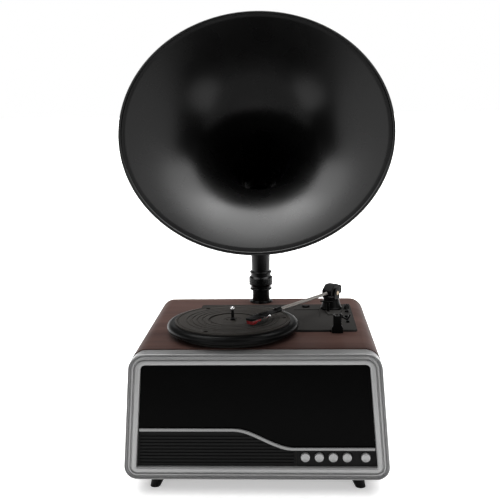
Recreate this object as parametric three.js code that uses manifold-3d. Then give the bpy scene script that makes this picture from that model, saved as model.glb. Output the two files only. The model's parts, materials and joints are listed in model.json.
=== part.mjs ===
// Retro record player: a tapered wooden cabinet with a silver front frame, a belt-driven
// turntable on top and a big black gramophone horn on a swivelling neck at the back.
// Units are millimetres, +Z is up and the front faces -Y.

import * as THREE from 'three';
import { mergeVertices } from 'three/addons/utils/BufferGeometryUtils.js';
import Module from 'manifold-3d';

const wasm = await Module();
wasm.setup();

const DEGREE = Math.PI / 180;
const TURN = 2 * Math.PI;

// Clearances and facet counts shared by all pieces
const CLEAR = 0.3;
const OVERRUN = 2;
const WELD = 0.001;
const CORNER_STEPS = 4;
const ROUND_STEPS = 3;
const FINE_SIDES = 32;
const MEDIUM_SIDES = 20;
const SMALL_SIDES = 12;
const TINY_SIDES = 8;

// Cabinet: a wrap of bent veneered board, open at the front and the back
const FOOT_HEIGHT = 25;
const CABINET_HEIGHT = 189.3;
const CABINET_TOP_WIDTH = 355.6;
const CABINET_TAPER_DEGREES = 4.5;
const CABINET_DEPTH = 331;
const CABINET_WALL = 9;
const CABINET_TOP_RADIUS = 24;
const CABINET_BOTTOM_RADIUS = 18;
const LEAST_RADIUS = 1;
const BACK_THICKNESS = 4;
const BACK_RECESS = 1;

// Splayed feet
const FOOT_TOP_RADIUS = 11.4;
const FOOT_BOTTOM_RADIUS = 7.8;
const FOOT_COLLAR = 3;
const FOOT_INSET_X = 48.5;
const FOOT_INSET_Y = 38;
const FOOT_SPLAY_X = 8;
const FOOT_SPLAY_Y = 5;
const FOOT_SIDES = 16;

// Silver front frame
const BEZEL_SKIRT = 22;
const BEZEL_EDGE = 4;
const BEZEL_BORDER = 17.5;
const BEZEL_DROP = 1.5;
const BEZEL_FLAT = 9.8;
const BEZEL_GROOVE_WIDTH = 2;
const BEZEL_GROOVE_DEPTH = 2;
const BEZEL_BEAD_STEP = 0.8;
const BEZEL_LIP_DEPTH = 6.5;
const BEZEL_LIP_THICKNESS = 1.6;
const BEZEL_LIP_OVERLAP = 4.6;
const BEZEL_SPIGOT = 10;

// Front panels, the wave trim between them and the baffle board behind them
const PANEL_THICKNESS = 3;
const BAFFLE_THICKNESS = 9;
const WAVE_HIGH = 98.1;
const WAVE_LOW = 69.3;
const WAVE_FROM_SIDE = 210.8;
const WAVE_RUN = 87;
const WAVE_STEPS = 14;
const TRIM_WIDTH = 4;
const TRIM_PROUD = 3;
const DIVIDER_FROM_SIDE = 120.4;
const LOUVRE_PITCH = 5;
const LOUVRE_SLOT = 2;
const LOUVRE_ROWS = 9;
const LOUVRE_BASE = 47;
const LOUVRE_DEPTH = 1.8;
const LOUVRE_MARGIN = 3.2;
const LOUVRE_RIB = 4;
const LOUVRE_BAYS = 2;
const LOUVRE_WEB = 0.3;

// Push buttons and the volume knob
const BUTTON_RADIUS = 6.5;
const BUTTON_PROUD = 4.6;
const BUTTON_DISH = 0.7;
const BUTTON_FLANGE_RADIUS = 8.2;
const BUTTON_FLANGE = 1.5;
const BUTTON_STEM_RADIUS = 2.5;
const BUTTON_STEM = 7.5;
const BUTTON_TRAVEL = 1.5;
const BUTTON_FROM_DIVIDER = 13.4;
const BUTTON_PITCH = 19.95;
const BUTTON_COUNT = 4;
const BUTTON_SIDES = 10;
const CONTROL_Z = 57;
const KNOB_FROM_DIVIDER = 99.7;
const KNOB_SHAFT_RADIUS = 3;
const KNOB_NOTCH = 1.2;
const CONTROL_WINDOW_HEIGHT = 19;
const CONTROL_BOARD_HEIGHT = 24;
const CONTROL_BOARD_THICKNESS = 1.6;
const CONTROL_SWITCH_HEIGHT = 3.5;
const CONTROL_SWITCH_WIDTH = 6;
const CONTROL_BRACKET = 6;

// Loudspeakers behind the grille
const SPEAKER_RADIUS = 31;
const SPEAKER_CONE_RADIUS = 23;
const SPEAKER_DUST_CAP_RADIUS = 7;
const SPEAKER_FLANGE = 2.5;
const SPEAKER_BASKET = 13;
const SPEAKER_MAGNET_RADIUS = 17;
const SPEAKER_MAGNET = 10;
const SPEAKER_CONE_WALL = 1.6;
const SPEAKER_FROM_SIDE = 52.8;
const SPEAKER_SPACING = 67;
const SPEAKER_Z = 72;

// Electronics on the cabinet floor and sockets in the back panel
const BOARD_WIDTH = 120;
const BOARD_DEPTH = 80;
const BOARD_THICKNESS = 1.6;
const BOARD_POST_RADIUS = 4;
const BOARD_POST = 5;
const BOARD_X = 30;
const BOARD_FROM_BACK = 81;
const CHIP_WIDTH = 22;
const CHIP_HEIGHT = 5;
const SINK_WIDTH = 40;
const SINK_HEIGHT = 22;
const SINK_DEPTH = 8;
const TRANSFORMER_WIDTH = 54;
const TRANSFORMER_DEPTH = 34;
const TRANSFORMER_HEIGHT = 44;
const TRANSFORMER_COIL = 8;
const TRANSFORMER_BASE = 3;
const TRANSFORMER_EAR = 10;
const TRANSFORMER_FROM_SIDE = 77.8;
const INLET_FROM_SIDE = 67.8;
const INLET_Z = 62;
const INLET_WIDTH = 23;
const INLET_HEIGHT = 15;
const INLET_FLANGE = 3.5;
const INLET_FLANGE_THICKNESS = 1.6;
const INLET_BODY = 18;
const INLET_WALL = 2;
const INLET_POCKET = 12;
const INLET_PIN_RADIUS = 1.3;
const JACK_FROM_SIDE = 82.8;
const JACK_Z = 62;
const JACK_PLATE_WIDTH = 40;
const JACK_PLATE_HEIGHT = 22;
const JACK_PLATE_THICKNESS = 1.2;
const JACK_BODY = 14;
const JACK_RADIUS = 4.2;
const JACK_BORE_RADIUS = 2.1;
const JACK_PROUD = 6;
const JACK_PITCH = 18;

// Turntable base plate, which lies on the cabinet top over an opening
const PLATE_THICKNESS = 3.4;
const PLATE_LEFT = -100;
const PLATE_FROM_SIDE = 24.8;
const PLATE_FROM_BACK = 60;
const PLATE_LENGTH = 163;
const PLATE_RADIUS = 6;
const PLATE_CHAMFER = 1.4;
const PLATE_LOBE_RADIUS = 84;
const PLATE_SEAT = 8;
const PLATE_STEP_DEPTH = 0.8;
const PLATE_STEP_WIDTH = 42;
const PLATE_STEP_LENGTH = 59.5;
const PLATE_STEP_FROM_RIGHT = 96;
const PLATE_STEP_FROM_BACK = 37;
const PLATE_PAD_WIDTH = 28;
const PLATE_PAD_FRONT_WIDTH = 19;
const PLATE_PAD_DEPTH = 27;
const PLATE_PAD_HEIGHT = 1.6;

// Platter, mat, spindle and the drive
const SPINDLE_X = -36.8;
const SPINDLE_SETBACK = 54.5;
const SPINDLE_RADIUS = 3.5;
const SPINDLE_TOP = 19.4;
const SPINDLE_TIP = 3;
const SPINDLE_BELOW = 14;
const PLATTER_RADIUS = 100;
const PLATTER_LIFT = 8.6;
const PLATTER_HEIGHT = 11;
const PLATTER_RIM = 4.5;
const PLATTER_EDGE = 1.8;
const PLATTER_RIM_STEP = 0.8;
const PLATTER_RECESS = 1.3;
const PLATTER_RECESS_RADIUS = 93.5;
const PLATTER_DECK = 2.7;
const PLATTER_HUB_RADIUS = 12;
const PLATTER_HOLE_RADIUS = 2.4;
const PLATTER_HOLE_CIRCLE = 78;
const PLATTER_HOLE_COUNT = 3;
const PLATTER_HOLE_FIRST_DEGREES = 4;
const BELT_RING_RADIUS = 64.5;
const BELT_RING_WALL = 3;
const MAT_THICKNESS = 2.6;
const MAT_EDGE = 2.4;
const MAT_EDGE_HEIGHT = 0.5;
const LABEL_RADIUS = 35;
const LABEL_RECESS = 0.8;
const BUSH_RADIUS = 7;
const BUSH_FLANGE_RADIUS = 12;
const BUSH_FLANGE = 1.8;
const BUSH_FLOOR = 2;
const MOTOR_ANGLE_DEGREES = 60;
const MOTOR_REACH = 80;
const MOTOR_RADIUS = 16;
const MOTOR_HEIGHT = 24;
const MOTOR_BOSS_RADIUS = 4;
const MOTOR_BOSS = 5;
const MOTOR_SHAFT_RADIUS = 1.2;
const PULLEY_RADIUS = 6;
const PULLEY_FLANGE = 1.2;
const PULLEY_FLANGE_THICKNESS = 1;
const BELT_HEIGHT = 4;
const BELT_THICKNESS = 0.8;
const BELT_LIFT = 1.6;

// Tonearm, built pointing forwards along -Y and then turned over the platter
const ARM_FROM_RIGHT = 33.6;
const ARM_FROM_BACK = 31;
const ARM_AXIS_LIFT = 32;
const ARM_TURN_DEGREES = 36;
const ARM_BASE_RADIUS = 16.5;
const ARM_BASE_FOOT_RADIUS = 18;
const ARM_BASE_FOOT = 2.6;
const ARM_BASE_HEIGHT = 17.7;
const ARM_BASE_TOP_RADIUS = 13.5;
const ARM_PIN_RADIUS = 4;
const ARM_PIN_LENGTH = 9;
const YOKE_RADIUS = 12;
const YOKE_DISC = 2.4;
const YOKE_CHEEK = 2.8;
const YOKE_CHEEK_DEPTH = 15;
const YOKE_CHEEK_RISE = 7;
const HEAD_WIDTH = 18.4;
const HEAD_FRONT = 14;
const HEAD_BACK = 13;
const HEAD_TOP = 13.5;
const HEAD_BELOW = 5;
const HEAD_CHAMFER = 5;
const HEAD_BEVEL = 1.2;
const HEAD_SOCKET = 8;
const PIVOT_SCREW_RADIUS = 2;
const PIVOT_HEAD_RADIUS = 3.4;
const PIVOT_HEAD = 1;
const WEIGHT_LENGTH = 8;
const WEIGHT_WIDTH = 15;
const WEIGHT_TOP = 9.5;
const WEIGHT_BELOW = 5;
const WEIGHT_BEVEL = 1.5;
const TUBE_RADIUS = 2.7;
const TUBE_LENGTH = 146;
const SHELL_START = 143;
const SHELL_SLEEVE_RADIUS = 4.2;
const SHELL_SLEEVE = 10;
const SHELL_TIP = 221;
const SHELL_NECK_WIDTH = 7;
const SHELL_WIDTH = 15.5;
const SHELL_FLARE = 26;
const SHELL_NOSE = 6;
const SHELL_TOP = 1.6;
const SHELL_BOTTOM = 1.8;
const CARTRIDGE_LENGTH = 21;
const CARTRIDGE_WIDTH = 13;
const CARTRIDGE_HEIGHT = 3.2;
const CARTRIDGE_SETBACK = 2;
const STYLUS_HEIGHT = 2.6;
const STYLUS_WIDTH = 9.5;
const STYLUS_LENGTH = 16;
const STYLUS_TIP = 0.8;
const STYLUS_TIP_SETBACK = 4;
const STYLUS_TIP_RADIUS = 0.8;
const STYLUS_POCKET = 1;
const LIFT_TAB_WIDTH = 4;
const LIFT_TAB_THICKNESS = 1.2;
const LIFT_TAB_REACH = 14;
const LIFT_TAB_CURL = 4;
const LIFT_TAB_BACK = 26;

// Arm rest with its clip, cue lift and lever, and the slide switches
const REST_FROM_RIGHT = 31;
const REST_DEPTH = 7.7;
const REST_FOOT_WIDTH = 16.6;
const REST_FOOT_HEIGHT = 12;
const REST_WIDTH = 12.4;
const REST_TROUGH_DROP = 3;
const REST_TROUGH_HALF = 3.6;
const REST_LIP_DROP = 0.5;
const REST_STOP_RISE = 1.2;
const CLIP_THICKNESS = 2.5;
const CLIP_EYE_RADIUS = 3.4;
const CLIP_PIN_RADIUS = 1.6;
const CLIP_PIN_OFFSET = 5;
const CLIP_PIN_DROP = 4.6;
const CLIP_LENGTH = 13;
const CLIP_WIDTH = 2.4;
const CLIP_HOOK = 9.5;
const CLIP_TURN_DEGREES = 118;
const CUE_RADIUS = 24.5;
const CUE_BAR_WIDTH = 3.5;
const CUE_BAR_THICKNESS = 2.2;
const CUE_START_DEGREES = -47;
const CUE_END_DEGREES = 4;
const CUE_POST_RADIUS = 2.2;
const CUE_POST_DEGREES = -14;
const CUE_POST_BELOW = 9;
const CUE_TRAVEL = 7;
const LEVER_FROM_RIGHT = 8;
const LEVER_BEFORE_ARM = 2;
const LEVER_LENGTH = 30;
const LEVER_WIDTH = 3;
const LEVER_TAB = 3.4;
const LEVER_THICKNESS = 2.4;
const LEVER_HUB_RADIUS = 3;
const LEVER_PIN_RADIUS = 1.5;
const LEVER_PIN = 2.2;
const LEVER_FALL_DEGREES = 5;
const BRACKET_CHEEK = 2;
const BRACKET_BASE = 1.4;
const BRACKET_DEPTH = 10;
const BRACKET_CLEAR_RADIUS = 3.6;
const SWITCH_FROM_RIGHT = 12;
const SPEED_SWITCH_FROM_BACK = 87;
const STOP_SWITCH_FROM_BACK = 119;
const SWITCH_CAP_WIDTH = 5;
const SWITCH_CAP_LENGTH = 8;
const SWITCH_CAP_HEIGHT = 3;
const SWITCH_CAP_BEVEL = 0.8;
const SWITCH_STEM_WIDTH = 2.4;
const SWITCH_STEM_LENGTH = 4;
const SWITCH_STEM_BELOW = 3;
const SPEED_SWITCH_TRAVEL = 6;
const STOP_SWITCH_TRAVEL = 2.5;
const TRANSIT_FROM_RIGHT = 75.5;
const TRANSIT_FROM_BACK = 19.5;
const TRANSIT_HEAD_RADIUS = 6.5;
const TRANSIT_HEAD = 3.2;
const TRANSIT_SHANK = 10;
const TRANSIT_SHANK_RADIUS = 2;
const TRANSIT_SLOT_WIDTH = 1.4;
const TRANSIT_SLOT_DEPTH = 1.2;

// Horn: fixed socket and collar, then the swivelling neck and bell
const STEM_FROM_BACK = 22;
const STEM_RADIUS = 15.2;
const SOCKET_FLANGE_RADIUS = 20;
const SOCKET_FLANGE = 2;
const SOCKET_WALL = 2.8;
const SOCKET_RISE = 35.7;
const SOCKET_BELOW = 12;
const SOCKET_NUT_RADIUS = 16.6;
const SOCKET_NUT = 3;
const COLLAR_FOOT = 22.7;
const COLLAR_HEIGHT = 32.5;
const COLLAR_RING_RADIUS = 19.1;
const COLLAR_RING = 3;
const COLLAR_BULGE_RADIUS = 20.7;
const COLLAR_BULGE = 18;
const COLLAR_WAIST_RADIUS = 17.6;
const COLLAR_GAP = 3.4;
const NECK_FIT_RADIUS = 15.2;
const NECK_START_RADIUS = 15.7;
const NECK_END_RADIUS = 19.7;
const NECK_WALL = 2.5;
const NECK_SIDES = 16;
const NECK_STEPS = 7;
const NECK_TENON = 12;
const ELBOW_RADIUS = 70;
const MOUTH_REACH = 239;
const MOUTH_Z = 527.4;
const MOUTH_TILT_DEGREES = 31.2;
const HORN_TURN_DEGREES = 1.2;
const BELL_RADIUS = 196.4;
const BELL_BEAD = 2.4;
const BELL_WALL = 2;
const BELL_FLARE_POWER = 1.6;
const BELL_STEPS = 10;
const BELL_SIDES = 40;
const BELL_BEAD_STEPS = 5;
const BELL_THROAT_RING = 1.8;
const BELL_THROAT_RING_LENGTH = 6;

// Places across the front and the back, kept from the cabinet's sides
const HALF_TOP = CABINET_TOP_WIDTH / 2;
const WAVE_START = HALF_TOP - WAVE_FROM_SIDE;
const WAVE_END = WAVE_START + WAVE_RUN;
const DIVIDER_X = HALF_TOP - DIVIDER_FROM_SIDE;
const BUTTON_FIRST_X = DIVIDER_X + BUTTON_FROM_DIVIDER;
const KNOB_X = DIVIDER_X + KNOB_FROM_DIVIDER;
const SPEAKER_LEFT_X = SPEAKER_FROM_SIDE - HALF_TOP;
const SPEAKER_RIGHT_X = SPEAKER_LEFT_X + SPEAKER_SPACING;
const TRANSFORMER_X = TRANSFORMER_FROM_SIDE - HALF_TOP;
const INLET_X = INLET_FROM_SIDE - HALF_TOP;
const JACK_X = HALF_TOP - JACK_FROM_SIDE;

// Places on the top and inside, kept from the right side and the back
const PLATE_RIGHT = HALF_TOP - PLATE_FROM_SIDE;
const PLATE_BACK = CABINET_DEPTH - PLATE_FROM_BACK;
const PLATE_FRONT = PLATE_BACK - PLATE_LENGTH;
const SPINDLE_Y = PLATE_FRONT / 2 + SPINDLE_SETBACK;
const PLATE_STEP_LEFT = PLATE_RIGHT - PLATE_STEP_FROM_RIGHT;
const PLATE_STEP_BACK = PLATE_BACK - PLATE_STEP_FROM_BACK;
const PLATE_STEP_FRONT = PLATE_STEP_BACK - PLATE_STEP_LENGTH;
const ARM_X = PLATE_RIGHT - ARM_FROM_RIGHT;
const ARM_Y = PLATE_BACK - ARM_FROM_BACK;
const REST_X = PLATE_RIGHT - REST_FROM_RIGHT;
const REST_Y = PLATE_FRONT - CLEAR - REST_DEPTH;
const LEVER_X = PLATE_RIGHT - LEVER_FROM_RIGHT;
const LEVER_Y = ARM_Y - LEVER_BEFORE_ARM;
const SWITCH_X = PLATE_RIGHT - SWITCH_FROM_RIGHT;
const SPEED_SWITCH_Y = PLATE_BACK - SPEED_SWITCH_FROM_BACK;
const STOP_SWITCH_Y = PLATE_BACK - STOP_SWITCH_FROM_BACK;
const TRANSIT_X = PLATE_RIGHT - TRANSIT_FROM_RIGHT;
const TRANSIT_Y = PLATE_BACK - TRANSIT_FROM_BACK;
const STEM_Y = CABINET_DEPTH - STEM_FROM_BACK;
const MOUTH_Y = STEM_Y - MOUTH_REACH;
const BOARD_Y = CABINET_DEPTH - BOARD_FROM_BACK;

// Heights and depths that follow from the sizes above
const CABINET_TOP = FOOT_HEIGHT + CABINET_HEIGHT;
const FLOOR_TOP = FOOT_HEIGHT + CABINET_WALL;
const LEAN = CABINET_TAPER_DEGREES * DEGREE;
const PANEL_FRONT = BEZEL_LIP_DEPTH + BEZEL_LIP_THICKNESS + CLEAR;
const PANEL_BACK = PANEL_FRONT + PANEL_THICKNESS;
const BAFFLE_FRONT = PANEL_BACK + CLEAR;
const BAFFLE_BACK = BAFFLE_FRONT + BAFFLE_THICKNESS;
const PANEL_INSET = BEZEL_BORDER - BEZEL_LIP_OVERLAP + CLEAR;
const BACK_FRONT = CABINET_DEPTH - BACK_RECESS - BACK_THICKNESS;
const PLATE_BOTTOM = CABINET_TOP + CLEAR;
const PLATE_TOP = PLATE_BOTTOM + PLATE_THICKNESS;
const PLATTER_BOTTOM = CABINET_TOP + PLATTER_LIFT;
const PLATTER_TOP = PLATTER_BOTTOM + PLATTER_HEIGHT;
const MAT_BOTTOM = PLATTER_TOP - PLATTER_RECESS + CLEAR;
const MAT_TOP = MAT_BOTTOM + MAT_THICKNESS;
const DECK_UNDER = PLATTER_TOP - PLATTER_RECESS - PLATTER_DECK;
const HUB_BOTTOM = PLATTER_BOTTOM + CLEAR;
const BUSH_TOP = HUB_BOTTOM - CLEAR;
const SPINDLE_BOTTOM = PLATE_BOTTOM - SPINDLE_BELOW;
const MOTOR_X = SPINDLE_X + MOTOR_REACH * Math.cos(MOTOR_ANGLE_DEGREES * DEGREE);
const MOTOR_Y = SPINDLE_Y + MOTOR_REACH * Math.sin(MOTOR_ANGLE_DEGREES * DEGREE);
const MOTOR_TOP = PLATE_BOTTOM - CLEAR;
const BELT_BOTTOM = PLATTER_BOTTOM + BELT_LIFT;
const ARM_Z = CABINET_TOP + ARM_AXIS_LIFT;
const ARM_BASE_TOP = PLATE_TOP + CLEAR + ARM_BASE_HEIGHT;
const YOKE_BOTTOM = ARM_BASE_TOP + CLEAR - ARM_Z;
const YOKE_DISC_TOP = YOKE_BOTTOM + YOKE_DISC;
const SHELL_UNDER = -SHELL_BOTTOM;
const CARTRIDGE_TOP = SHELL_UNDER - CLEAR;
const STYLUS_TOP = CARTRIDGE_TOP - CARTRIDGE_HEIGHT - CLEAR;
const TUBE_UNDER = ARM_Z - TUBE_RADIUS;
const TILT = MOUTH_TILT_DEGREES * DEGREE;
const ELBOW_ANGLE = TURN / 4 - TILT;
const ELBOW_TANGENT = ELBOW_RADIUS * Math.tan(ELBOW_ANGLE / 2);
const HORN_AXIS_LENGTH = (STEM_Y - MOUTH_Y) / Math.cos(TILT);
const BELL_LENGTH = HORN_AXIS_LENGTH - ELBOW_TANGENT;
const AXIS_CROSSING = MOUTH_Z - (STEM_Y - MOUTH_Y) * Math.tan(TILT);
const COLLAR_BOTTOM = CABINET_TOP + COLLAR_FOOT;
const COLLAR_TOP = COLLAR_BOTTOM + COLLAR_HEIGHT;
const SOCKET_TOP = CABINET_TOP + SOCKET_RISE;

// Finishes
const finish = (color, roughness, metalness) =>
  new THREE.MeshStandardMaterial({ color, roughness, metalness });
const walnut = finish('#45302c', 0.5, 0);
const silver = finish('#9a9a9a', 0.4, 0.6);
const glossBlack = finish('#0a0a0b', 0.12, 0);
const mattBlack = finish('#191919', 0.6, 0);
const darkGrey = finish('#3c3b3a', 0.55, 0);
const rubber = finish('#2b2a29', 0.85, 0);
const steel = finish('#b4b2ae', 0.3, 1);
const brass = finish('#b08a4a', 0.35, 1);
const redPlastic = finish('#8c1a1e', 0.4, 0);
const circuitGreen = finish('#1f4a33', 0.6, 0);
const paperCone = finish('#2a2826', 0.9, 0);
const board = finish('#8a7358', 0.8, 0);

// Shape helpers

function mesh(name, geometry, material) {
  const made = new THREE.Mesh(geometry, material);
  made.name = name;
  return made;
}

function welded(geometry) {
  const bare = new THREE.BufferGeometry();
  bare.setAttribute('position', geometry.getAttribute('position').clone());
  if (geometry.index) bare.setIndex(geometry.index.clone());
  const merged = mergeVertices(bare, WELD);
  const kept = [];
  const index = merged.index.array;
  for (let i = 0; i < index.length; i += 3) {
    const [a, b, c] = [index[i], index[i + 1], index[i + 2]];
    if (a !== b && b !== c && c !== a) kept.push(a, b, c);
  }
  merged.setIndex(kept);
  return merged;
}

function signedVolume(geometry) {
  const points = geometry.getAttribute('position');
  const index = geometry.index.array;
  const [a, b, c] = [new THREE.Vector3(), new THREE.Vector3(), new THREE.Vector3()];
  let total = 0;
  for (let i = 0; i < index.length; i += 3) {
    a.fromBufferAttribute(points, index[i]);
    b.fromBufferAttribute(points, index[i + 1]);
    c.fromBufferAttribute(points, index[i + 2]);
    total += a.dot(b.cross(c));
  }
  return total;
}

function outward(geometry) {
  const closed = welded(geometry);
  if (signedVolume(closed) < 0) {
    const flipped = Array.from(closed.index.array);
    for (let i = 0; i < flipped.length; i += 3) {
      [flipped[i + 1], flipped[i + 2]] = [flipped[i + 2], flipped[i + 1]];
    }
    closed.setIndex(flipped);
  }
  return closed;
}

function solid(geometry) {
  const closed = outward(geometry);
  return new wasm.Manifold(new wasm.Mesh({
    numProp: 3,
    vertProperties: new Float32Array(closed.getAttribute('position').array),
    triVerts: new Uint32Array(closed.index.array),
  }));
}

function geometryOf(manifold) {
  const result = manifold.getMesh();
  const geometry = new THREE.BufferGeometry();
  geometry.setAttribute('position', new THREE.BufferAttribute(result.vertProperties, 3));
  geometry.setIndex(new THREE.BufferAttribute(result.triVerts, 1));
  return geometry;
}

function cut(geometry, ...tools) {
  let body = solid(geometry);
  for (const tool of tools) body = body.subtract(solid(tool));
  return geometryOf(body);
}

function join(geometry, ...others) {
  let body = solid(geometry);
  for (const other of others) body = body.add(solid(other));
  return geometryOf(body);
}

function common(geometry, other) {
  return geometryOf(solid(geometry).intersect(solid(other)));
}

// A profile of [radius, height] pairs turned about the Z axis
function turned(profile, sides) {
  const points = profile.map(([radius, height]) => new THREE.Vector2(radius, height));
  return outward(new THREE.LatheGeometry(points, sides).rotateX(TURN / 4));
}

// The same, closed on itself, for a ring or a tube
function turnedRing(profile, sides) {
  return turned([...profile, profile[0]], sides);
}

// A profile of [radius, depth] pairs turned about the Y axis
function turnedAlongY(profile, sides) {
  return turned(profile, sides).rotateX(-TURN / 4);
}

function rod(radius, bottom, top, sides = SMALL_SIDES) {
  return turned([[0, bottom], [radius, bottom], [radius, top], [0, top]], sides);
}

function rodAlongY(radius, front, back, sides = SMALL_SIDES) {
  return turnedAlongY([[0, front], [radius, front], [radius, back], [0, back]], sides);
}

function block(x0, x1, y0, y1, z0, z1) {
  const box = new THREE.BoxGeometry(x1 - x0, y1 - y0, z1 - z0);
  return outward(box.translate((x0 + x1) / 2, (y0 + y1) / 2, (z0 + z1) / 2));
}

function shapeOf(points) {
  return new THREE.Shape(points.map((p) => new THREE.Vector2(p[0] ?? p.x, p[1] ?? p.y)));
}

// A shape drawn in X and Y, standing from one height to another
function slab(shape, bottom, top, bevel = 0) {
  const geometry = new THREE.ExtrudeGeometry(shape, {
    depth: top - bottom - 2 * bevel,
    bevelEnabled: bevel > 0,
    bevelSize: bevel,
    bevelThickness: bevel,
    bevelOffset: -bevel,
    bevelSegments: 1,
    curveSegments: ROUND_STEPS,
  });
  return outward(geometry.translate(0, 0, bottom + bevel));
}

// A shape drawn in X and Z, running from front to back along Y
function prismAlongY(shape, front, back, bevel = 0) {
  return slab(shape, 0, back - front, bevel).rotateX(TURN / 4).translate(0, back, 0);
}

// A shape drawn in Y and Z, running along X
function prismAlongX(shape, left, right, bevel = 0) {
  const axes = new THREE.Matrix4().makeBasis(
    new THREE.Vector3(0, 1, 0), new THREE.Vector3(0, 0, 1), new THREE.Vector3(1, 0, 0));
  return slab(shape, 0, right - left, bevel).applyMatrix4(axes).translate(left, 0, 0);
}

function roundedRectangle(x0, y0, x1, y1, radius) {
  const shape = new THREE.Shape();
  shape.moveTo(x0 + radius, y0);
  shape.lineTo(x1 - radius, y0);
  shape.absarc(x1 - radius, y0 + radius, radius, -TURN / 4, 0);
  shape.absarc(x1 - radius, y1 - radius, radius, 0, TURN / 4);
  shape.absarc(x0 + radius, y1 - radius, radius, TURN / 4, TURN / 2);
  shape.absarc(x0 + radius, y0 + radius, radius, TURN / 2, 3 * TURN / 4);
  return shape;
}

// Rings of equally many points skinned into one closed body, end to end or end caps
function loft(rings, looped) {
  const count = rings[0].length;
  const positions = rings.flat().flatMap((p) => [p.x, p.y, p.z]);
  const index = [];
  const last = looped ? rings.length : rings.length - 1;
  for (let i = 0; i < last; i += 1) {
    const next = (i + 1) % rings.length;
    for (let j = 0; j < count; j += 1) {
      const k = (j + 1) % count;
      index.push(i * count + j, i * count + k, next * count + k);
      index.push(i * count + j, next * count + k, next * count + j);
    }
  }
  if (!looped) {
    const end = (rings.length - 1) * count;
    for (let j = 1; j < count - 1; j += 1) {
      index.push(0, j + 1, j);
      index.push(end, end + j, end + j + 1);
    }
  }
  const geometry = new THREE.BufferGeometry();
  geometry.setAttribute('position', new THREE.Float32BufferAttribute(positions, 3));
  geometry.setIndex(index);
  return outward(geometry);
}

function arcPoints(centreX, centreZ, radius, from, to, steps) {
  const points = [];
  for (let i = 0; i <= steps; i += 1) {
    const angle = from + (to - from) * (i / steps);
    points.push([centreX + radius * Math.cos(angle), centreZ + radius * Math.sin(angle)]);
  }
  return points;
}

// Cabinet

// Outline of the tapered cabinet seen from the front, moved inwards by an inset
function cabinetOutline(inset, drop = 0) {
  const top = CABINET_TOP - drop - inset;
  const bottom = FOOT_HEIGHT + inset;
  const reach = (CABINET_TOP_WIDTH / 2) * Math.cos(LEAN) + CABINET_TOP * Math.sin(LEAN) - inset;
  const topRadius = Math.max(CABINET_TOP_RADIUS - inset, LEAST_RADIUS);
  const bottomRadius = Math.max(CABINET_BOTTOM_RADIUS - inset, LEAST_RADIUS);
  const centreX = (radius, z) => (reach - radius - z * Math.sin(LEAN)) / Math.cos(LEAN);
  const low = bottom + bottomRadius;
  const high = top - topRadius;
  const right = [
    ...arcPoints(centreX(bottomRadius, low), low, bottomRadius, -TURN / 4, LEAN, CORNER_STEPS),
    ...arcPoints(centreX(topRadius, high), high, topRadius, LEAN, TURN / 4, CORNER_STEPS),
  ];
  const left = right.map(([x, z]) => [-x, z]).reverse();
  return [...right, ...left];
}

function halfWidthAt(z, inset) {
  return CABINET_TOP_WIDTH / 2 + (CABINET_TOP - z) * Math.tan(LEAN) - inset / Math.cos(LEAN);
}

function lobeAndDeck(inset, bottom, top, chamfer = 0) {
  const lobe = turned([
    [0, bottom],
    [PLATE_LOBE_RADIUS - inset, bottom],
    [PLATE_LOBE_RADIUS - inset, top - chamfer],
    [PLATE_LOBE_RADIUS - inset - chamfer, top],
    [0, top],
  ], FINE_SIDES).translate(SPINDLE_X, SPINDLE_Y, 0);
  const outline = roundedRectangle(
    PLATE_LEFT + inset, PLATE_FRONT + inset, PLATE_RIGHT - inset, PLATE_BACK - inset, PLATE_RADIUS);
  const deck = slab(outline, bottom - chamfer, top, chamfer);
  const trimmed = chamfer > 0
    ? cut(deck, block(PLATE_LEFT - OVERRUN, PLATE_RIGHT + OVERRUN, PLATE_FRONT - OVERRUN,
      PLATE_BACK + OVERRUN, bottom - chamfer - OVERRUN, bottom))
    : deck;
  return join(lobe, trimmed);
}

function cabinetWrap() {
  const outline = shapeOf(cabinetOutline(0));
  outline.holes.push(shapeOf(cabinetOutline(CABINET_WALL)));
  const wrap = prismAlongY(outline, BEZEL_SKIRT + CLEAR, CABINET_DEPTH);
  const low = CABINET_TOP - CABINET_WALL - OVERRUN;
  const opening = lobeAndDeck(PLATE_SEAT, low, CABINET_TOP + OVERRUN);
  const hornHole = rod(STEM_RADIUS + CLEAR, low, CABINET_TOP + OVERRUN, MEDIUM_SIDES)
    .translate(0, STEM_Y, 0);
  return mesh('cabinet_wrap', cut(wrap, opening, hornHole), walnut);
}

function backPanel() {
  const panel = prismAlongY(shapeOf(cabinetOutline(CABINET_WALL + CLEAR)), BACK_FRONT,
    CABINET_DEPTH - BACK_RECESS);
  const front = BACK_FRONT - OVERRUN;
  const back = CABINET_DEPTH + OVERRUN;
  const inlet = block(
    INLET_X - INLET_WIDTH / 2 - CLEAR, INLET_X + INLET_WIDTH / 2 + CLEAR, front, back,
    INLET_Z - INLET_HEIGHT / 2 - CLEAR, INLET_Z + INLET_HEIGHT / 2 + CLEAR);
  const inner = JACK_PLATE_HEIGHT / 2 - INLET_FLANGE;
  const jacks = block(
    JACK_X - JACK_PLATE_WIDTH / 2 + INLET_FLANGE, JACK_X + JACK_PLATE_WIDTH / 2 - INLET_FLANGE,
    front, back, JACK_Z - inner, JACK_Z + inner);
  return mesh('back_panel', cut(panel, inlet, jacks), mattBlack);
}

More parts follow.
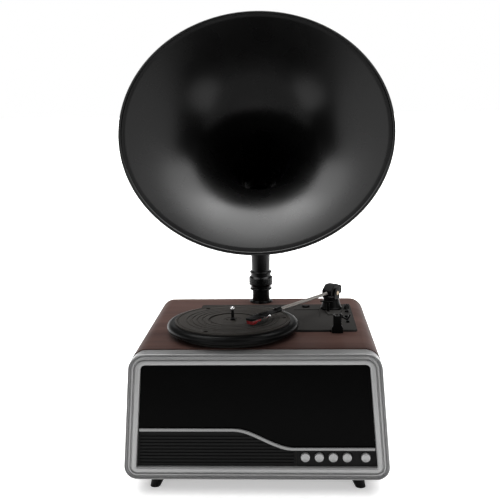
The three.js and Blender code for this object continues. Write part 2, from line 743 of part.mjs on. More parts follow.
function foot(name, sideX, sideY) {
  const topX = sideX * (halfWidthAt(FOOT_HEIGHT, 0) - FOOT_INSET_X);
  const middle = CABINET_DEPTH / 2;
  const topY = middle + sideY * (middle - FOOT_INSET_Y);
  const levels = [
    { share: 0, radius: FOOT_BOTTOM_RADIUS, z: 0 },
    { share: 1, radius: FOOT_TOP_RADIUS, z: FOOT_HEIGHT - FOOT_COLLAR },
    { share: 1, radius: FOOT_TOP_RADIUS, z: FOOT_HEIGHT - CLEAR },
  ];
  const rings = levels.map(({ share, radius, z }) => {
    const ring = [];
    for (let i = 0; i < FOOT_SIDES; i += 1) {
      const angle = TURN * (i / FOOT_SIDES);
      const x = topX + sideX * FOOT_SPLAY_X * (1 - share) + radius * Math.cos(angle);
      const y = topY + sideY * FOOT_SPLAY_Y * (1 - share) + radius * Math.sin(angle);
      ring.push(new THREE.Vector3(x, y, z));
    }
    return ring;
  });
  return mesh(name, loft(rings, false), mattBlack);
}

// Front frame and panels

function bezel() {
  const rebate = BEZEL_BORDER - BEZEL_LIP_OVERLAP;
  const lipBack = BEZEL_LIP_DEPTH + BEZEL_LIP_THICKNESS;
  const groove = BEZEL_FLAT + BEZEL_GROOVE_WIDTH;
  const spigot = CABINET_WALL + CLEAR;
  const profile = [
    [0, BEZEL_SKIRT],
    ...arcPoints(BEZEL_EDGE, BEZEL_EDGE, BEZEL_EDGE, TURN / 2, 3 * TURN / 4, CORNER_STEPS),
    [BEZEL_FLAT, 0],
    [BEZEL_FLAT + BEZEL_BEAD_STEP, BEZEL_GROOVE_DEPTH],
    [groove, BEZEL_GROOVE_DEPTH],
    [groove + BEZEL_BEAD_STEP, BEZEL_GROOVE_DEPTH - BEZEL_BEAD_STEP],
    [BEZEL_BORDER, BEZEL_LIP_DEPTH],
    [BEZEL_BORDER, lipBack],
    [rebate, lipBack],
    [rebate, BEZEL_SKIRT + BEZEL_SPIGOT],
    [spigot, BEZEL_SKIRT + BEZEL_SPIGOT],
    [spigot, BEZEL_SKIRT],
  ];
  const rings = profile.map(([inset, y]) =>
    cabinetOutline(inset, BEZEL_DROP).map(([x, z]) => new THREE.Vector3(x, y, z)));
  return mesh('bezel', loft(rings, true), silver);
}

// Height of the wave between its high left level and its low right level
function waveHeight(x) {
  const share = Math.min(Math.max((x - WAVE_START) / (WAVE_END - WAVE_START), 0), 1);
  return WAVE_HIGH + (WAVE_LOW - WAVE_HIGH) * share * share * (3 - 2 * share);
}

function waveLine(left, right, offset) {
  const line = [];
  const places = [left];
  for (let i = 0; i <= WAVE_STEPS; i += 1) {
    places.push(WAVE_START + (WAVE_END - WAVE_START) * (i / WAVE_STEPS));
  }
  places.push(right);
  for (const x of places) {
    const step = (WAVE_END - WAVE_START) / WAVE_STEPS;
    const slope = Math.atan2(waveHeight(x + step / 2) - waveHeight(x - step / 2), step);
    line.push([x - offset * Math.sin(slope), waveHeight(x) + offset * Math.cos(slope)]);
  }
  return line;
}

function panelBlank(front, back) {
  return prismAlongY(shapeOf(cabinetOutline(PANEL_INSET, BEZEL_DROP)), front, back);
}

function panelWindow(left, right, bottom, top, front, back) {
  return block(left, right, front, back, bottom, top);
}

function aboveWave(offset, side) {
  const wide = CABINET_TOP_WIDTH;
  const limit = side > 0 ? CABINET_TOP : 0;
  const line = waveLine(-wide, wide, offset * side);
  const area = shapeOf([...line, [wide, limit], [-wide, limit]]);
  return prismAlongY(area, PANEL_FRONT - OVERRUN, PANEL_BACK + OVERRUN);
}

function frontPanel() {
  const panel = common(panelBlank(PANEL_FRONT, PANEL_BACK), aboveWave(TRIM_WIDTH / 2 + CLEAR, 1));
  return mesh('front_panel', panel, glossBlack);
}

function lowerPanel(left, right) {
  const lower = common(panelBlank(PANEL_FRONT, PANEL_BACK), aboveWave(TRIM_WIDTH / 2 + CLEAR, -1));
  const part = panelWindow(left, right, 0, CABINET_TOP, PANEL_FRONT - OVERRUN, PANEL_BACK + OVERRUN);
  return common(lower, part);
}

// How far right a louvre at a height can run before it meets the wave or the divider
function louvreEnd(z) {
  let end = DIVIDER_X - LOUVRE_MARGIN;
  const room = z + LOUVRE_SLOT + TRIM_WIDTH / 2 + LOUVRE_MARGIN / 2;
  const step = (WAVE_END - WAVE_START) / (4 * WAVE_STEPS);
  while (waveHeight(end) < room && end > WAVE_START) end -= step;
  return end;
}

function grillePanel() {
  const tools = [];
  for (let row = 0; row < LOUVRE_ROWS; row += 1) {
    const z = LOUVRE_BASE + row * LOUVRE_PITCH;
    const left = -halfWidthAt(z, BEZEL_BORDER + LOUVRE_MARGIN);
    tools.push(panelWindow(left, louvreEnd(z), z, z + LOUVRE_SLOT,
      PANEL_FRONT - OVERRUN, PANEL_FRONT + LOUVRE_DEPTH));
  }
  const top = LOUVRE_BASE + (LOUVRE_ROWS - 1) * LOUVRE_PITCH + LOUVRE_SLOT;
  const low = WAVE_LOW - TRIM_WIDTH / 2 - LOUVRE_MARGIN;
  const back = PANEL_FRONT + LOUVRE_DEPTH - LOUVRE_WEB;
  const left = -halfWidthAt(CABINET_TOP, BEZEL_BORDER);
  const span = WAVE_START - left;
  for (let bay = 0; bay < LOUVRE_BAYS; bay += 1) {
    const x0 = left + span * (bay / LOUVRE_BAYS) + LOUVRE_RIB / 2;
    const x1 = left + span * ((bay + 1) / LOUVRE_BAYS) - LOUVRE_RIB / 2;
    tools.push(panelWindow(x0, x1, LOUVRE_BASE, top, back, PANEL_BACK + OVERRUN));
  }
  tools.push(panelWindow(WAVE_START + LOUVRE_RIB / 2, WAVE_END - LOUVRE_RIB, LOUVRE_BASE, low,
    back, PANEL_BACK + OVERRUN));
  const blank = lowerPanel(-CABINET_TOP_WIDTH, DIVIDER_X - CLEAR / 2);
  return mesh('grille_panel', cut(blank, ...tools), mattBlack);
}

function controlPlaces() {
  const places = [];
  for (let i = 0; i < BUTTON_COUNT; i += 1) places.push(BUTTON_FIRST_X + i * BUTTON_PITCH);
  return places;
}

function controlPanel() {
  const hole = (x) => rodAlongY(BUTTON_RADIUS + CLEAR, PANEL_FRONT - OVERRUN,
    PANEL_BACK + OVERRUN).translate(x, 0, CONTROL_Z);
  const blank = lowerPanel(DIVIDER_X + CLEAR / 2, CABINET_TOP_WIDTH);
  const holes = [...controlPlaces(), KNOB_X].map(hole);
  return mesh('control_panel', cut(blank, ...holes), mattBlack);
}

function trimStrip() {
  const inset = BEZEL_BORDER + CLEAR;
  const left = -halfWidthAt(WAVE_HIGH, inset) + TRIM_WIDTH / 2 * Math.tan(LEAN);
  const right = halfWidthAt(WAVE_LOW, inset) - TRIM_WIDTH / 2 * Math.tan(LEAN);
  const upper = waveLine(left, right, TRIM_WIDTH / 2);
  const lower = waveLine(left, right, -TRIM_WIDTH / 2).reverse();
  const strip = prismAlongY(shapeOf([...upper, ...lower]), PANEL_FRONT - TRIM_PROUD, PANEL_BACK);
  return mesh('trim_strip', strip, silver);
}

function baffleBoard() {
  const blank = panelBlank(BAFFLE_FRONT, BAFFLE_BACK);
  const front = BAFFLE_FRONT - OVERRUN;
  const back = BAFFLE_BACK + OVERRUN;
  const soundHole = (x) => rodAlongY(SPEAKER_CONE_RADIUS, front, back, MEDIUM_SIDES)
    .translate(x, 0, SPEAKER_Z);
  const window = panelWindow(
    BUTTON_FIRST_X - BUTTON_FLANGE_RADIUS - 2 * CLEAR, KNOB_X + BUTTON_RADIUS + CLEAR,
    CONTROL_Z - CONTROL_WINDOW_HEIGHT / 2, CONTROL_Z + CONTROL_WINDOW_HEIGHT / 2, front, back);
  const cutBoard = cut(blank, soundHole(SPEAKER_LEFT_X), soundHole(SPEAKER_RIGHT_X), window);
  return mesh('baffle_board', cutBoard, board);
}

function buttonProfile() {
  const face = PANEL_FRONT - BUTTON_PROUD;
  const rim = BUTTON_RADIUS - BUTTON_DISH;
  return [
    [0, face + BUTTON_DISH],
    [rim - BUTTON_DISH, face + BUTTON_DISH],
    [rim, face],
    [BUTTON_RADIUS, face + BUTTON_DISH],
  ];
}

function pushButton(number, x) {
  const flange = BAFFLE_FRONT;
  const stem = flange + BUTTON_FLANGE;
  const profile = [
    ...buttonProfile(),
    [BUTTON_RADIUS, flange],
    [BUTTON_FLANGE_RADIUS, flange],
    [BUTTON_FLANGE_RADIUS, stem],
    [BUTTON_STEM_RADIUS, stem],
    [BUTTON_STEM_RADIUS, stem + BUTTON_STEM],
    [0, stem + BUTTON_STEM],
  ];
  const made = mesh(`push_button_${number}`, turnedAlongY(profile, BUTTON_SIDES), silver);
  made.position.set(x, 0, CONTROL_Z);
  return made;
}

function controlBoardFront() {
  return BAFFLE_FRONT + BUTTON_FLANGE + BUTTON_STEM + BUTTON_TRAVEL + CLEAR + CONTROL_SWITCH_HEIGHT;
}

function volumeKnob() {
  const shoulder = BAFFLE_FRONT;
  const profile = [
    ...buttonProfile(),
    [BUTTON_RADIUS, shoulder],
    [KNOB_SHAFT_RADIUS, shoulder],
    [KNOB_SHAFT_RADIUS, controlBoardFront() - CLEAR],
    [0, controlBoardFront() - CLEAR],
  ];
  const face = PANEL_FRONT - BUTTON_PROUD;
  const notch = block(-KNOB_NOTCH / 2, KNOB_NOTCH / 2, face - OVERRUN, face + BUTTON_DISH + KNOB_NOTCH,
    BUTTON_RADIUS / 2, BUTTON_RADIUS + OVERRUN);
  const made = mesh('volume_knob', cut(turnedAlongY(profile, SMALL_SIDES), notch), silver);
  made.position.set(KNOB_X, 0, CONTROL_Z);
  return made;
}

function controlBoard() {
  const front = controlBoardFront();
  const left = BUTTON_FIRST_X - BUTTON_FLANGE_RADIUS - CONTROL_BRACKET;
  const right = KNOB_X + BUTTON_RADIUS;
  const bottom = CONTROL_Z - CONTROL_BOARD_HEIGHT / 2;
  const top = CONTROL_Z + CONTROL_BOARD_HEIGHT / 2;
  const sheet = block(left, right, front, front + CONTROL_BOARD_THICKNESS, bottom, top);
  const half = CONTROL_SWITCH_WIDTH / 2;
  const switches = controlPlaces().map((x) => block(
    x - half, x + half, front - CONTROL_SWITCH_HEIGHT, front + CONTROL_BOARD_THICKNESS / 2,
    CONTROL_Z - half, CONTROL_Z + half));
  const posts = [left, right - CONTROL_BRACKET / 2].map((x) => block(
    x, x + CONTROL_BRACKET / 2, BAFFLE_BACK + CLEAR, front + CONTROL_BOARD_THICKNESS / 2,
    top - CONTROL_BRACKET / 2, top));
  const feet = [left, right - CONTROL_BRACKET / 2].map((x) => block(
    x, x + CONTROL_BRACKET / 2, BAFFLE_BACK + CLEAR, front + CONTROL_BOARD_THICKNESS / 2,
    bottom, bottom + CONTROL_BRACKET / 2));
  return mesh('control_board', join(sheet, ...switches, ...posts, ...feet), circuitGreen);
}

// Inside the cabinet

function speaker(name, x) {
  const front = BAFFLE_BACK + CLEAR;
  const flange = front + SPEAKER_FLANGE;
  const rear = front + SPEAKER_BASKET;
  const profile = [
    [0, rear - SPEAKER_CONE_WALL - SPEAKER_DUST_CAP_RADIUS / 2],
    [SPEAKER_DUST_CAP_RADIUS, rear - SPEAKER_CONE_WALL],
    [SPEAKER_CONE_RADIUS, flange],
    [SPEAKER_CONE_RADIUS + SPEAKER_CONE_WALL, front],
    [SPEAKER_RADIUS, front],
    [SPEAKER_RADIUS, flange],
    [SPEAKER_CONE_RADIUS + SPEAKER_CONE_WALL, flange + SPEAKER_CONE_WALL],
    [SPEAKER_MAGNET_RADIUS - SPEAKER_CONE_WALL, rear],
    [SPEAKER_MAGNET_RADIUS, rear],
    [SPEAKER_MAGNET_RADIUS, rear + SPEAKER_MAGNET],
    [0, rear + SPEAKER_MAGNET],
  ];
  const made = mesh(name, turnedAlongY(profile, SMALL_SIDES), paperCone);
  made.position.set(x, 0, SPEAKER_Z);
  return made;
}

function mainBoard() {
  const low = FLOOR_TOP + CLEAR;
  const bottom = low + BOARD_POST;
  const top = bottom + BOARD_THICKNESS;
  const left = BOARD_X - BOARD_WIDTH / 2;
  const right = BOARD_X + BOARD_WIDTH / 2;
  const near = BOARD_Y - BOARD_DEPTH / 2;
  const far = BOARD_Y + BOARD_DEPTH / 2;
  const sheet = block(left, right, near, far, bottom, top);
  const posts = [left + 2 * BOARD_POST_RADIUS, right - 2 * BOARD_POST_RADIUS].flatMap((x) =>
    [near + 2 * BOARD_POST_RADIUS, far - 2 * BOARD_POST_RADIUS].map((y) =>
      rod(BOARD_POST_RADIUS, low, bottom + BOARD_THICKNESS / 2, TINY_SIDES).translate(x, y, 0)));
  const middle = bottom + BOARD_THICKNESS / 2;
  const chip = block(BOARD_X - CHIP_WIDTH, BOARD_X, BOARD_Y - CHIP_WIDTH / 2,
    BOARD_Y + CHIP_WIDTH / 2, middle, top + CHIP_HEIGHT);
  const sink = block(BOARD_X + CHIP_WIDTH / 2, BOARD_X + CHIP_WIDTH / 2 + SINK_DEPTH,
    BOARD_Y - SINK_WIDTH / 2, BOARD_Y + SINK_WIDTH / 2, middle, top + SINK_HEIGHT);
  return mesh('main_board', join(sheet, ...posts, chip, sink), circuitGreen);
}

function transformer() {
  const low = FLOOR_TOP + CLEAR;
  const coreLow = low + TRANSFORMER_BASE;
  const half = TRANSFORMER_WIDTH / 2;
  const deep = TRANSFORMER_DEPTH / 2;
  const plate = block(-half - TRANSFORMER_EAR, half + TRANSFORMER_EAR, -deep, deep, low,
    coreLow + TRANSFORMER_BASE);
  const core = block(-half, half, -deep, deep, coreLow, coreLow + TRANSFORMER_HEIGHT);
  const coilLow = coreLow + TRANSFORMER_COIL;
  const coilShape = roundedRectangle(-half + TRANSFORMER_COIL, -deep - TRANSFORMER_COIL,
    half - TRANSFORMER_COIL, deep + TRANSFORMER_COIL, TRANSFORMER_COIL / 2);
  const coil = slab(coilShape, coilLow, coreLow + TRANSFORMER_HEIGHT - TRANSFORMER_COIL);
  const made = mesh('transformer', join(plate, core, coil), steel);
  made.position.set(TRANSFORMER_X, BOARD_Y, 0);
  return made;
}

function powerInlet() {
  const outer = CABINET_DEPTH - BACK_RECESS + CLEAR;
  const half = INLET_WIDTH / 2;
  const high = INLET_HEIGHT / 2;
  const flange = prismAlongY(roundedRectangle(-half - INLET_FLANGE, -high - INLET_FLANGE,
    half + INLET_FLANGE, high + INLET_FLANGE, INLET_FLANGE), outer, outer + INLET_FLANGE_THICKNESS);
  const body = block(-half, half, outer - INLET_BODY, outer + INLET_FLANGE_THICKNESS / 2, -high, high);
  const pocketFloor = outer + INLET_FLANGE_THICKNESS - INLET_POCKET;
  const pocket = prismAlongY(roundedRectangle(-half + INLET_WALL, -high + INLET_WALL,
    half - INLET_WALL, high - INLET_WALL, high - INLET_WALL - CLEAR), pocketFloor,
    outer + INLET_FLANGE_THICKNESS + OVERRUN);
  const pins = [-half / 3, half / 3].map((x) =>
    rodAlongY(INLET_PIN_RADIUS, pocketFloor - INLET_WALL, outer, TINY_SIDES).translate(x, 0, 0));
  const made = mesh('power_inlet', join(cut(join(flange, body), pocket), ...pins), mattBlack);
  made.position.set(INLET_X, 0, INLET_Z);
  return made;
}

function audioJacks() {
  const outer = CABINET_DEPTH - BACK_RECESS + CLEAR;
  const plateBack = outer + JACK_PLATE_THICKNESS;
  const half = JACK_PLATE_WIDTH / 2;
  const high = JACK_PLATE_HEIGHT / 2;
  const plate = prismAlongY(roundedRectangle(-half, -high, half, high, INLET_FLANGE / 2), outer,
    plateBack);
  const body = block(-half + 2 * INLET_FLANGE, half - 2 * INLET_FLANGE, outer - JACK_BODY,
    outer + JACK_PLATE_THICKNESS / 2, -high + 2 * INLET_FLANGE, high - 2 * INLET_FLANGE);
  const sides = [-JACK_PITCH / 2, JACK_PITCH / 2];
  const barrels = sides.map((x) =>
    rodAlongY(JACK_RADIUS, outer, plateBack + JACK_PROUD, TINY_SIDES).translate(x, 0, 0));
  const bores = sides.map((x) =>
    rodAlongY(JACK_BORE_RADIUS, outer, plateBack + JACK_PROUD + OVERRUN, TINY_SIDES)
      .translate(x, 0, 0));
  const made = mesh('audio_jacks', cut(join(plate, body, ...barrels), ...bores), mattBlack);
  made.position.set(JACK_X, 0, JACK_Z);
  return made;
}

// Turntable

function basePlate() {
  const plate = lobeAndDeck(0, PLATE_BOTTOM, PLATE_TOP, PLATE_CHAMFER);
  const padBack = ARM_Y - ARM_BASE_FOOT_RADIUS - CLEAR;
  const padOutline = shapeOf([
    [REST_X - PLATE_PAD_WIDTH / 2, padBack],
    [REST_X - PLATE_PAD_FRONT_WIDTH / 2, padBack - PLATE_PAD_DEPTH],
    [REST_X + PLATE_PAD_FRONT_WIDTH / 2, padBack - PLATE_PAD_DEPTH],
    [REST_X + PLATE_PAD_WIDTH / 2, padBack],
  ]);
  const pad = slab(padOutline, PLATE_BOTTOM + PLATE_THICKNESS / 2, PLATE_TOP + PLATE_PAD_HEIGHT);
  const low = PLATE_BOTTOM - OVERRUN;
  const high = PLATE_TOP + OVERRUN;
  const step = block(PLATE_STEP_LEFT, PLATE_STEP_LEFT + PLATE_STEP_WIDTH, PLATE_STEP_FRONT,
    PLATE_STEP_BACK, PLATE_TOP - PLATE_STEP_DEPTH, high);
  const bushHole = rod(BUSH_RADIUS + CLEAR, low, high).translate(SPINDLE_X, SPINDLE_Y, 0);
  const shaftHole = rod(MOTOR_BOSS_RADIUS + CLEAR, low, high).translate(MOTOR_X, MOTOR_Y, 0);
  const post = cuePost();
  const cueHole = rod(CUE_POST_RADIUS + CLEAR, low, high).translate(post.x, post.y, 0);
  const transitHole = rod(TRANSIT_SHANK_RADIUS + CLEAR, low, high).translate(TRANSIT_X, TRANSIT_Y, 0);
  const slot = (y, travel) => block(
    SWITCH_X - SWITCH_STEM_WIDTH / 2 - CLEAR, SWITCH_X + SWITCH_STEM_WIDTH / 2 + CLEAR,
    y - SWITCH_STEM_LENGTH / 2 - travel - CLEAR, y + SWITCH_STEM_LENGTH / 2 + travel + CLEAR,
    low, high);
  const body = cut(join(plate, pad), step, bushHole, shaftHole, cueHole, transitHole,
    slot(SPEED_SWITCH_Y, SPEED_SWITCH_TRAVEL), slot(STOP_SWITCH_Y, STOP_SWITCH_TRAVEL));
  return mesh('base_plate', body, darkGrey);
}

function spindleBush() {
  const flangeBottom = PLATE_TOP + CLEAR;
  const bore = SPINDLE_RADIUS + CLEAR;
  const profile = [
    [0, SPINDLE_BOTTOM - CLEAR - BUSH_FLOOR],
    [BUSH_RADIUS, SPINDLE_BOTTOM - CLEAR - BUSH_FLOOR],
    [BUSH_RADIUS, flangeBottom],
    [BUSH_FLANGE_RADIUS, flangeBottom],
    [BUSH_FLANGE_RADIUS, flangeBottom + BUSH_FLANGE],
    [BUSH_RADIUS, flangeBottom + BUSH_FLANGE],
    [BUSH_RADIUS, BUSH_TOP],
    [bore, BUSH_TOP],
    [bore, SPINDLE_BOTTOM - CLEAR],
    [0, SPINDLE_BOTTOM - CLEAR],
  ];
  const made = mesh('spindle_bush', turned(profile, SMALL_SIDES), brass);
  made.position.set(SPINDLE_X, SPINDLE_Y, 0);
  return made;
}

function platterHoles(bottom, top) {
  const holes = [];
  for (let i = 0; i < PLATTER_HOLE_COUNT; i += 1) {
    const angle = PLATTER_HOLE_FIRST_DEGREES * DEGREE + TURN * (i / PLATTER_HOLE_COUNT);
    holes.push(rod(PLATTER_HOLE_RADIUS, bottom, top, TINY_SIDES).translate(
      PLATTER_HOLE_CIRCLE * Math.cos(angle), PLATTER_HOLE_CIRCLE * Math.sin(angle), 0));
  }
  return holes;
}

function platter() {
  const bore = SPINDLE_RADIUS + CLEAR;
  const deck = PLATTER_TOP - PLATTER_RECESS;
  const inner = PLATTER_RADIUS - PLATTER_RIM;
  const stepHigh = PLATTER_BOTTOM + PLATTER_HEIGHT / 2;
  const profile = [
    [bore, HUB_BOTTOM],
    [PLATTER_HUB_RADIUS, HUB_BOTTOM],
    [PLATTER_HUB_RADIUS, DECK_UNDER],
    [BELT_RING_RADIUS - BELT_RING_WALL, DECK_UNDER],
    [BELT_RING_RADIUS - BELT_RING_WALL, PLATTER_BOTTOM],
    [BELT_RING_RADIUS, PLATTER_BOTTOM],
    [BELT_RING_RADIUS, DECK_UNDER],
    [inner, DECK_UNDER],
    [inner, PLATTER_BOTTOM],
    [PLATTER_RADIUS - PLATTER_RIM_STEP, PLATTER_BOTTOM],
    [PLATTER_RADIUS - PLATTER_RIM_STEP, stepHigh - PLATTER_RIM_STEP],
    [PLATTER_RADIUS, stepHigh],
    [PLATTER_RADIUS, PLATTER_TOP - PLATTER_EDGE],
    [PLATTER_RADIUS - PLATTER_EDGE, PLATTER_TOP],
    [PLATTER_RECESS_RADIUS + CLEAR, PLATTER_TOP],
    [PLATTER_RECESS_RADIUS + CLEAR, deck],
    [bore, deck],
  ];
  const holes = platterHoles(DECK_UNDER - OVERRUN, PLATTER_TOP + OVERRUN);
  const made = mesh('platter', cut(turnedRing(profile, FINE_SIDES), ...holes), mattBlack);
  made.position.set(SPINDLE_X, SPINDLE_Y, 0);
  return made;
}

function platterMat() {
  const bore = SPINDLE_RADIUS + CLEAR;
  const edge = PLATTER_RECESS_RADIUS - MAT_EDGE;
  const profile = [
    [bore, MAT_BOTTOM],
    [PLATTER_RECESS_RADIUS, MAT_BOTTOM],
    [PLATTER_RECESS_RADIUS, MAT_TOP],
    [edge + MAT_EDGE / 2, MAT_TOP + MAT_EDGE_HEIGHT],
    [edge, MAT_TOP],
    [LABEL_RADIUS, MAT_TOP],
    [LABEL_RADIUS - LABEL_RECESS, MAT_TOP - LABEL_RECESS],
    [bore, MAT_TOP - LABEL_RECESS],
  ];
  const holes = platterHoles(MAT_BOTTOM - OVERRUN, MAT_TOP + OVERRUN);
  const made = mesh('platter_mat', cut(turnedRing(profile, FINE_SIDES), ...holes), rubber);
  made.position.set(SPINDLE_X, SPINDLE_Y, 0);
  return made;
}

function spindle() {
  const top = MAT_TOP + SPINDLE_TOP;
  const profile = [
    [0, SPINDLE_BOTTOM],
    [SPINDLE_RADIUS, SPINDLE_BOTTOM],
    [SPINDLE_RADIUS, top - SPINDLE_TIP],
    [SPINDLE_RADIUS - SPINDLE_TIP / 4, top - SPINDLE_TIP / 3],
    [SPINDLE_RADIUS / 2, top],
    [0, top],
  ];
  const made = mesh('spindle', turned(profile, SMALL_SIDES), steel);
  made.position.set(SPINDLE_X, SPINDLE_Y, 0);
  return made;
}

function motor() {
  const bottom = MOTOR_TOP - MOTOR_HEIGHT;
  const edge = MOTOR_BOSS_RADIUS / 2;
  const bore = MOTOR_SHAFT_RADIUS + CLEAR;
  const profile = [
    [0, bottom],
    [MOTOR_RADIUS - edge, bottom],
    [MOTOR_RADIUS, bottom + edge],
    [MOTOR_RADIUS, MOTOR_TOP],
    [MOTOR_BOSS_RADIUS, MOTOR_TOP],
    [MOTOR_BOSS_RADIUS, MOTOR_TOP + MOTOR_BOSS],
    [bore, MOTOR_TOP + MOTOR_BOSS],
    [bore, MOTOR_TOP - MOTOR_BOSS],
    [0, MOTOR_TOP - MOTOR_BOSS],
  ];
  const made = mesh('motor', turned(profile, SMALL_SIDES), steel);
  made.position.set(MOTOR_X, MOTOR_Y, 0);
  return made;
}

function motorPulley() {
  const low = BELT_BOTTOM - CLEAR;
  const high = BELT_BOTTOM + BELT_HEIGHT + CLEAR;
  const flange = PULLEY_RADIUS + PULLEY_FLANGE;
  const shaftEnd = MOTOR_TOP - MOTOR_BOSS + CLEAR;
  const profile = [
    [0, shaftEnd],
    [MOTOR_SHAFT_RADIUS, shaftEnd],
    [MOTOR_SHAFT_RADIUS, low - PULLEY_FLANGE_THICKNESS],
    [flange, low - PULLEY_FLANGE_THICKNESS],
    [flange, low],
    [PULLEY_RADIUS, low],
    [PULLEY_RADIUS, high],
    [flange, high],
    [flange, high + PULLEY_FLANGE_THICKNESS],
    [0, high + PULLEY_FLANGE_THICKNESS],
  ];
  const made = mesh('motor_pulley', turned(profile, SMALL_SIDES), brass);
  made.position.set(MOTOR_X, MOTOR_Y, 0);
  return made;
}

// The flat belt runs round the ring under the platter and the motor pulley
function beltOutline(ringRadius, pulleyRadius) {
  const spread = Math.acos((ringRadius - pulleyRadius) / MOTOR_REACH);
  const ringArc = arcPoints(0, 0, ringRadius, spread, TURN - spread, FINE_SIDES);
  const pulleyArc = arcPoints(MOTOR_REACH, 0, pulleyRadius, -spread, spread, SMALL_SIDES / 2);
  return shapeOf([...ringArc, ...pulleyArc]);
}

function driveBelt() {
  const inner = beltOutline(BELT_RING_RADIUS + CLEAR, PULLEY_RADIUS + CLEAR);
  const outer = beltOutline(
    BELT_RING_RADIUS + CLEAR + BELT_THICKNESS, PULLEY_RADIUS + CLEAR + BELT_THICKNESS);
  outer.holes.push(inner);
  const made = mesh('drive_belt', slab(outer, BELT_BOTTOM, BELT_BOTTOM + BELT_HEIGHT), rubber);
  made.position.set(SPINDLE_X, SPINDLE_Y, 0);
  made.rotation.z = MOTOR_ANGLE_DEGREES * DEGREE;
  return made;
}

// Tonearm

function armBase() {
  const bottom = PLATE_TOP + CLEAR;
  const foot = bottom + ARM_BASE_FOOT;
  const bore = ARM_PIN_RADIUS + CLEAR;
  const boreFloor = ARM_BASE_TOP - ARM_PIN_LENGTH - CLEAR;
  const profile = [
    [0, bottom],
    [ARM_BASE_FOOT_RADIUS, bottom],
    [ARM_BASE_FOOT_RADIUS, foot],
    [ARM_BASE_RADIUS, foot + ARM_BASE_FOOT / 2],
    [ARM_BASE_TOP_RADIUS, ARM_BASE_TOP - ARM_BASE_FOOT],
    [ARM_BASE_TOP_RADIUS - ARM_BASE_FOOT / 2, ARM_BASE_TOP],
    [bore, ARM_BASE_TOP],
    [bore, boreFloor],
    [0, boreFloor],
  ];
  const made = mesh('arm_base', turned(profile, SMALL_SIDES), mattBlack);
  made.position.set(ARM_X, ARM_Y, 0);
  return made;
}

function armYoke() {
  const disc = rod(YOKE_RADIUS, YOKE_BOTTOM, YOKE_DISC_TOP, MEDIUM_SIDES);
  const pin = rod(ARM_PIN_RADIUS, YOKE_BOTTOM + CLEAR - ARM_PIN_LENGTH, YOKE_DISC_TOP);
  const inner = HEAD_WIDTH / 2 + CLEAR;
  const half = YOKE_CHEEK_DEPTH / 2;
  const outline = [
    [-half, YOKE_BOTTOM],
    [half, YOKE_BOTTOM],
    [half, 0],
    [half / 2, YOKE_CHEEK_RISE],
    [-half / 2, YOKE_CHEEK_RISE],
    [-half, 0],
  ];
  const cheeks = [-inner - YOKE_CHEEK, inner].map((left) =>
    prismAlongX(shapeOf(outline), left, left + YOKE_CHEEK));
  const bridge = block(-inner - YOKE_CHEEK / 2, inner + YOKE_CHEEK / 2, -half, half, YOKE_BOTTOM,
    YOKE_DISC_TOP);
  const bore = rod(PIVOT_SCREW_RADIUS + CLEAR, -YOKE_RADIUS - OVERRUN, YOKE_RADIUS + OVERRUN)
    .rotateY(TURN / 4);
  return mesh('arm_yoke', cut(join(disc, pin, bridge, ...cheeks), bore), mattBlack);
}

function armHead() {
  const profile = [
    [-HEAD_FRONT, -HEAD_BELOW + HEAD_CHAMFER / 2],
    [-HEAD_FRONT, HEAD_TOP / 3],
    [-HEAD_FRONT + 2 * HEAD_CHAMFER, HEAD_TOP],
    [HEAD_BACK - HEAD_CHAMFER, HEAD_TOP],
    [HEAD_BACK, HEAD_TOP - HEAD_CHAMFER],
    [HEAD_BACK, -HEAD_BELOW + HEAD_CHAMFER / 2],
    [HEAD_BACK - HEAD_CHAMFER / 2, -HEAD_BELOW],
    [-HEAD_FRONT + HEAD_CHAMFER / 2, -HEAD_BELOW],
  ];
  const half = HEAD_WIDTH / 2;
  const blockBody = prismAlongX(shapeOf(profile), -half, half, HEAD_BEVEL);
  const outer = half + CLEAR + YOKE_CHEEK + CLEAR;
  const screws = [-1, 1].map((side) => turned([
    [0, half - HEAD_BEVEL],
    [PIVOT_SCREW_RADIUS, half - HEAD_BEVEL],
    [PIVOT_SCREW_RADIUS, outer],
    [PIVOT_HEAD_RADIUS, outer],
    [PIVOT_HEAD_RADIUS, outer + PIVOT_HEAD],
    [0, outer + PIVOT_HEAD],
  ], SMALL_SIDES).rotateY(side * TURN / 4));
  const socket = rodAlongY(TUBE_RADIUS + CLEAR, -HEAD_FRONT - OVERRUN, -HEAD_FRONT + HEAD_SOCKET);
  return mesh('arm_head', cut(join(blockBody, ...screws), socket), mattBlack);
}

function counterweight() {
  const half = WEIGHT_WIDTH / 2;
  const outline = roundedRectangle(-half, -WEIGHT_BELOW, half, WEIGHT_TOP, 2 * WEIGHT_BEVEL);
  const weight = prismAlongY(outline, HEAD_BACK + CLEAR, HEAD_BACK + CLEAR + WEIGHT_LENGTH,
    WEIGHT_BEVEL);
  return mesh('counterweight', weight, mattBlack);
}

function armTube() {
  const back = -HEAD_FRONT + HEAD_SOCKET - CLEAR;
  return mesh('arm_tube', rodAlongY(TUBE_RADIUS, back - TUBE_LENGTH, back), steel);
}

function shellFront() {
  return -HEAD_FRONT + HEAD_SOCKET - CLEAR - TUBE_LENGTH;
}

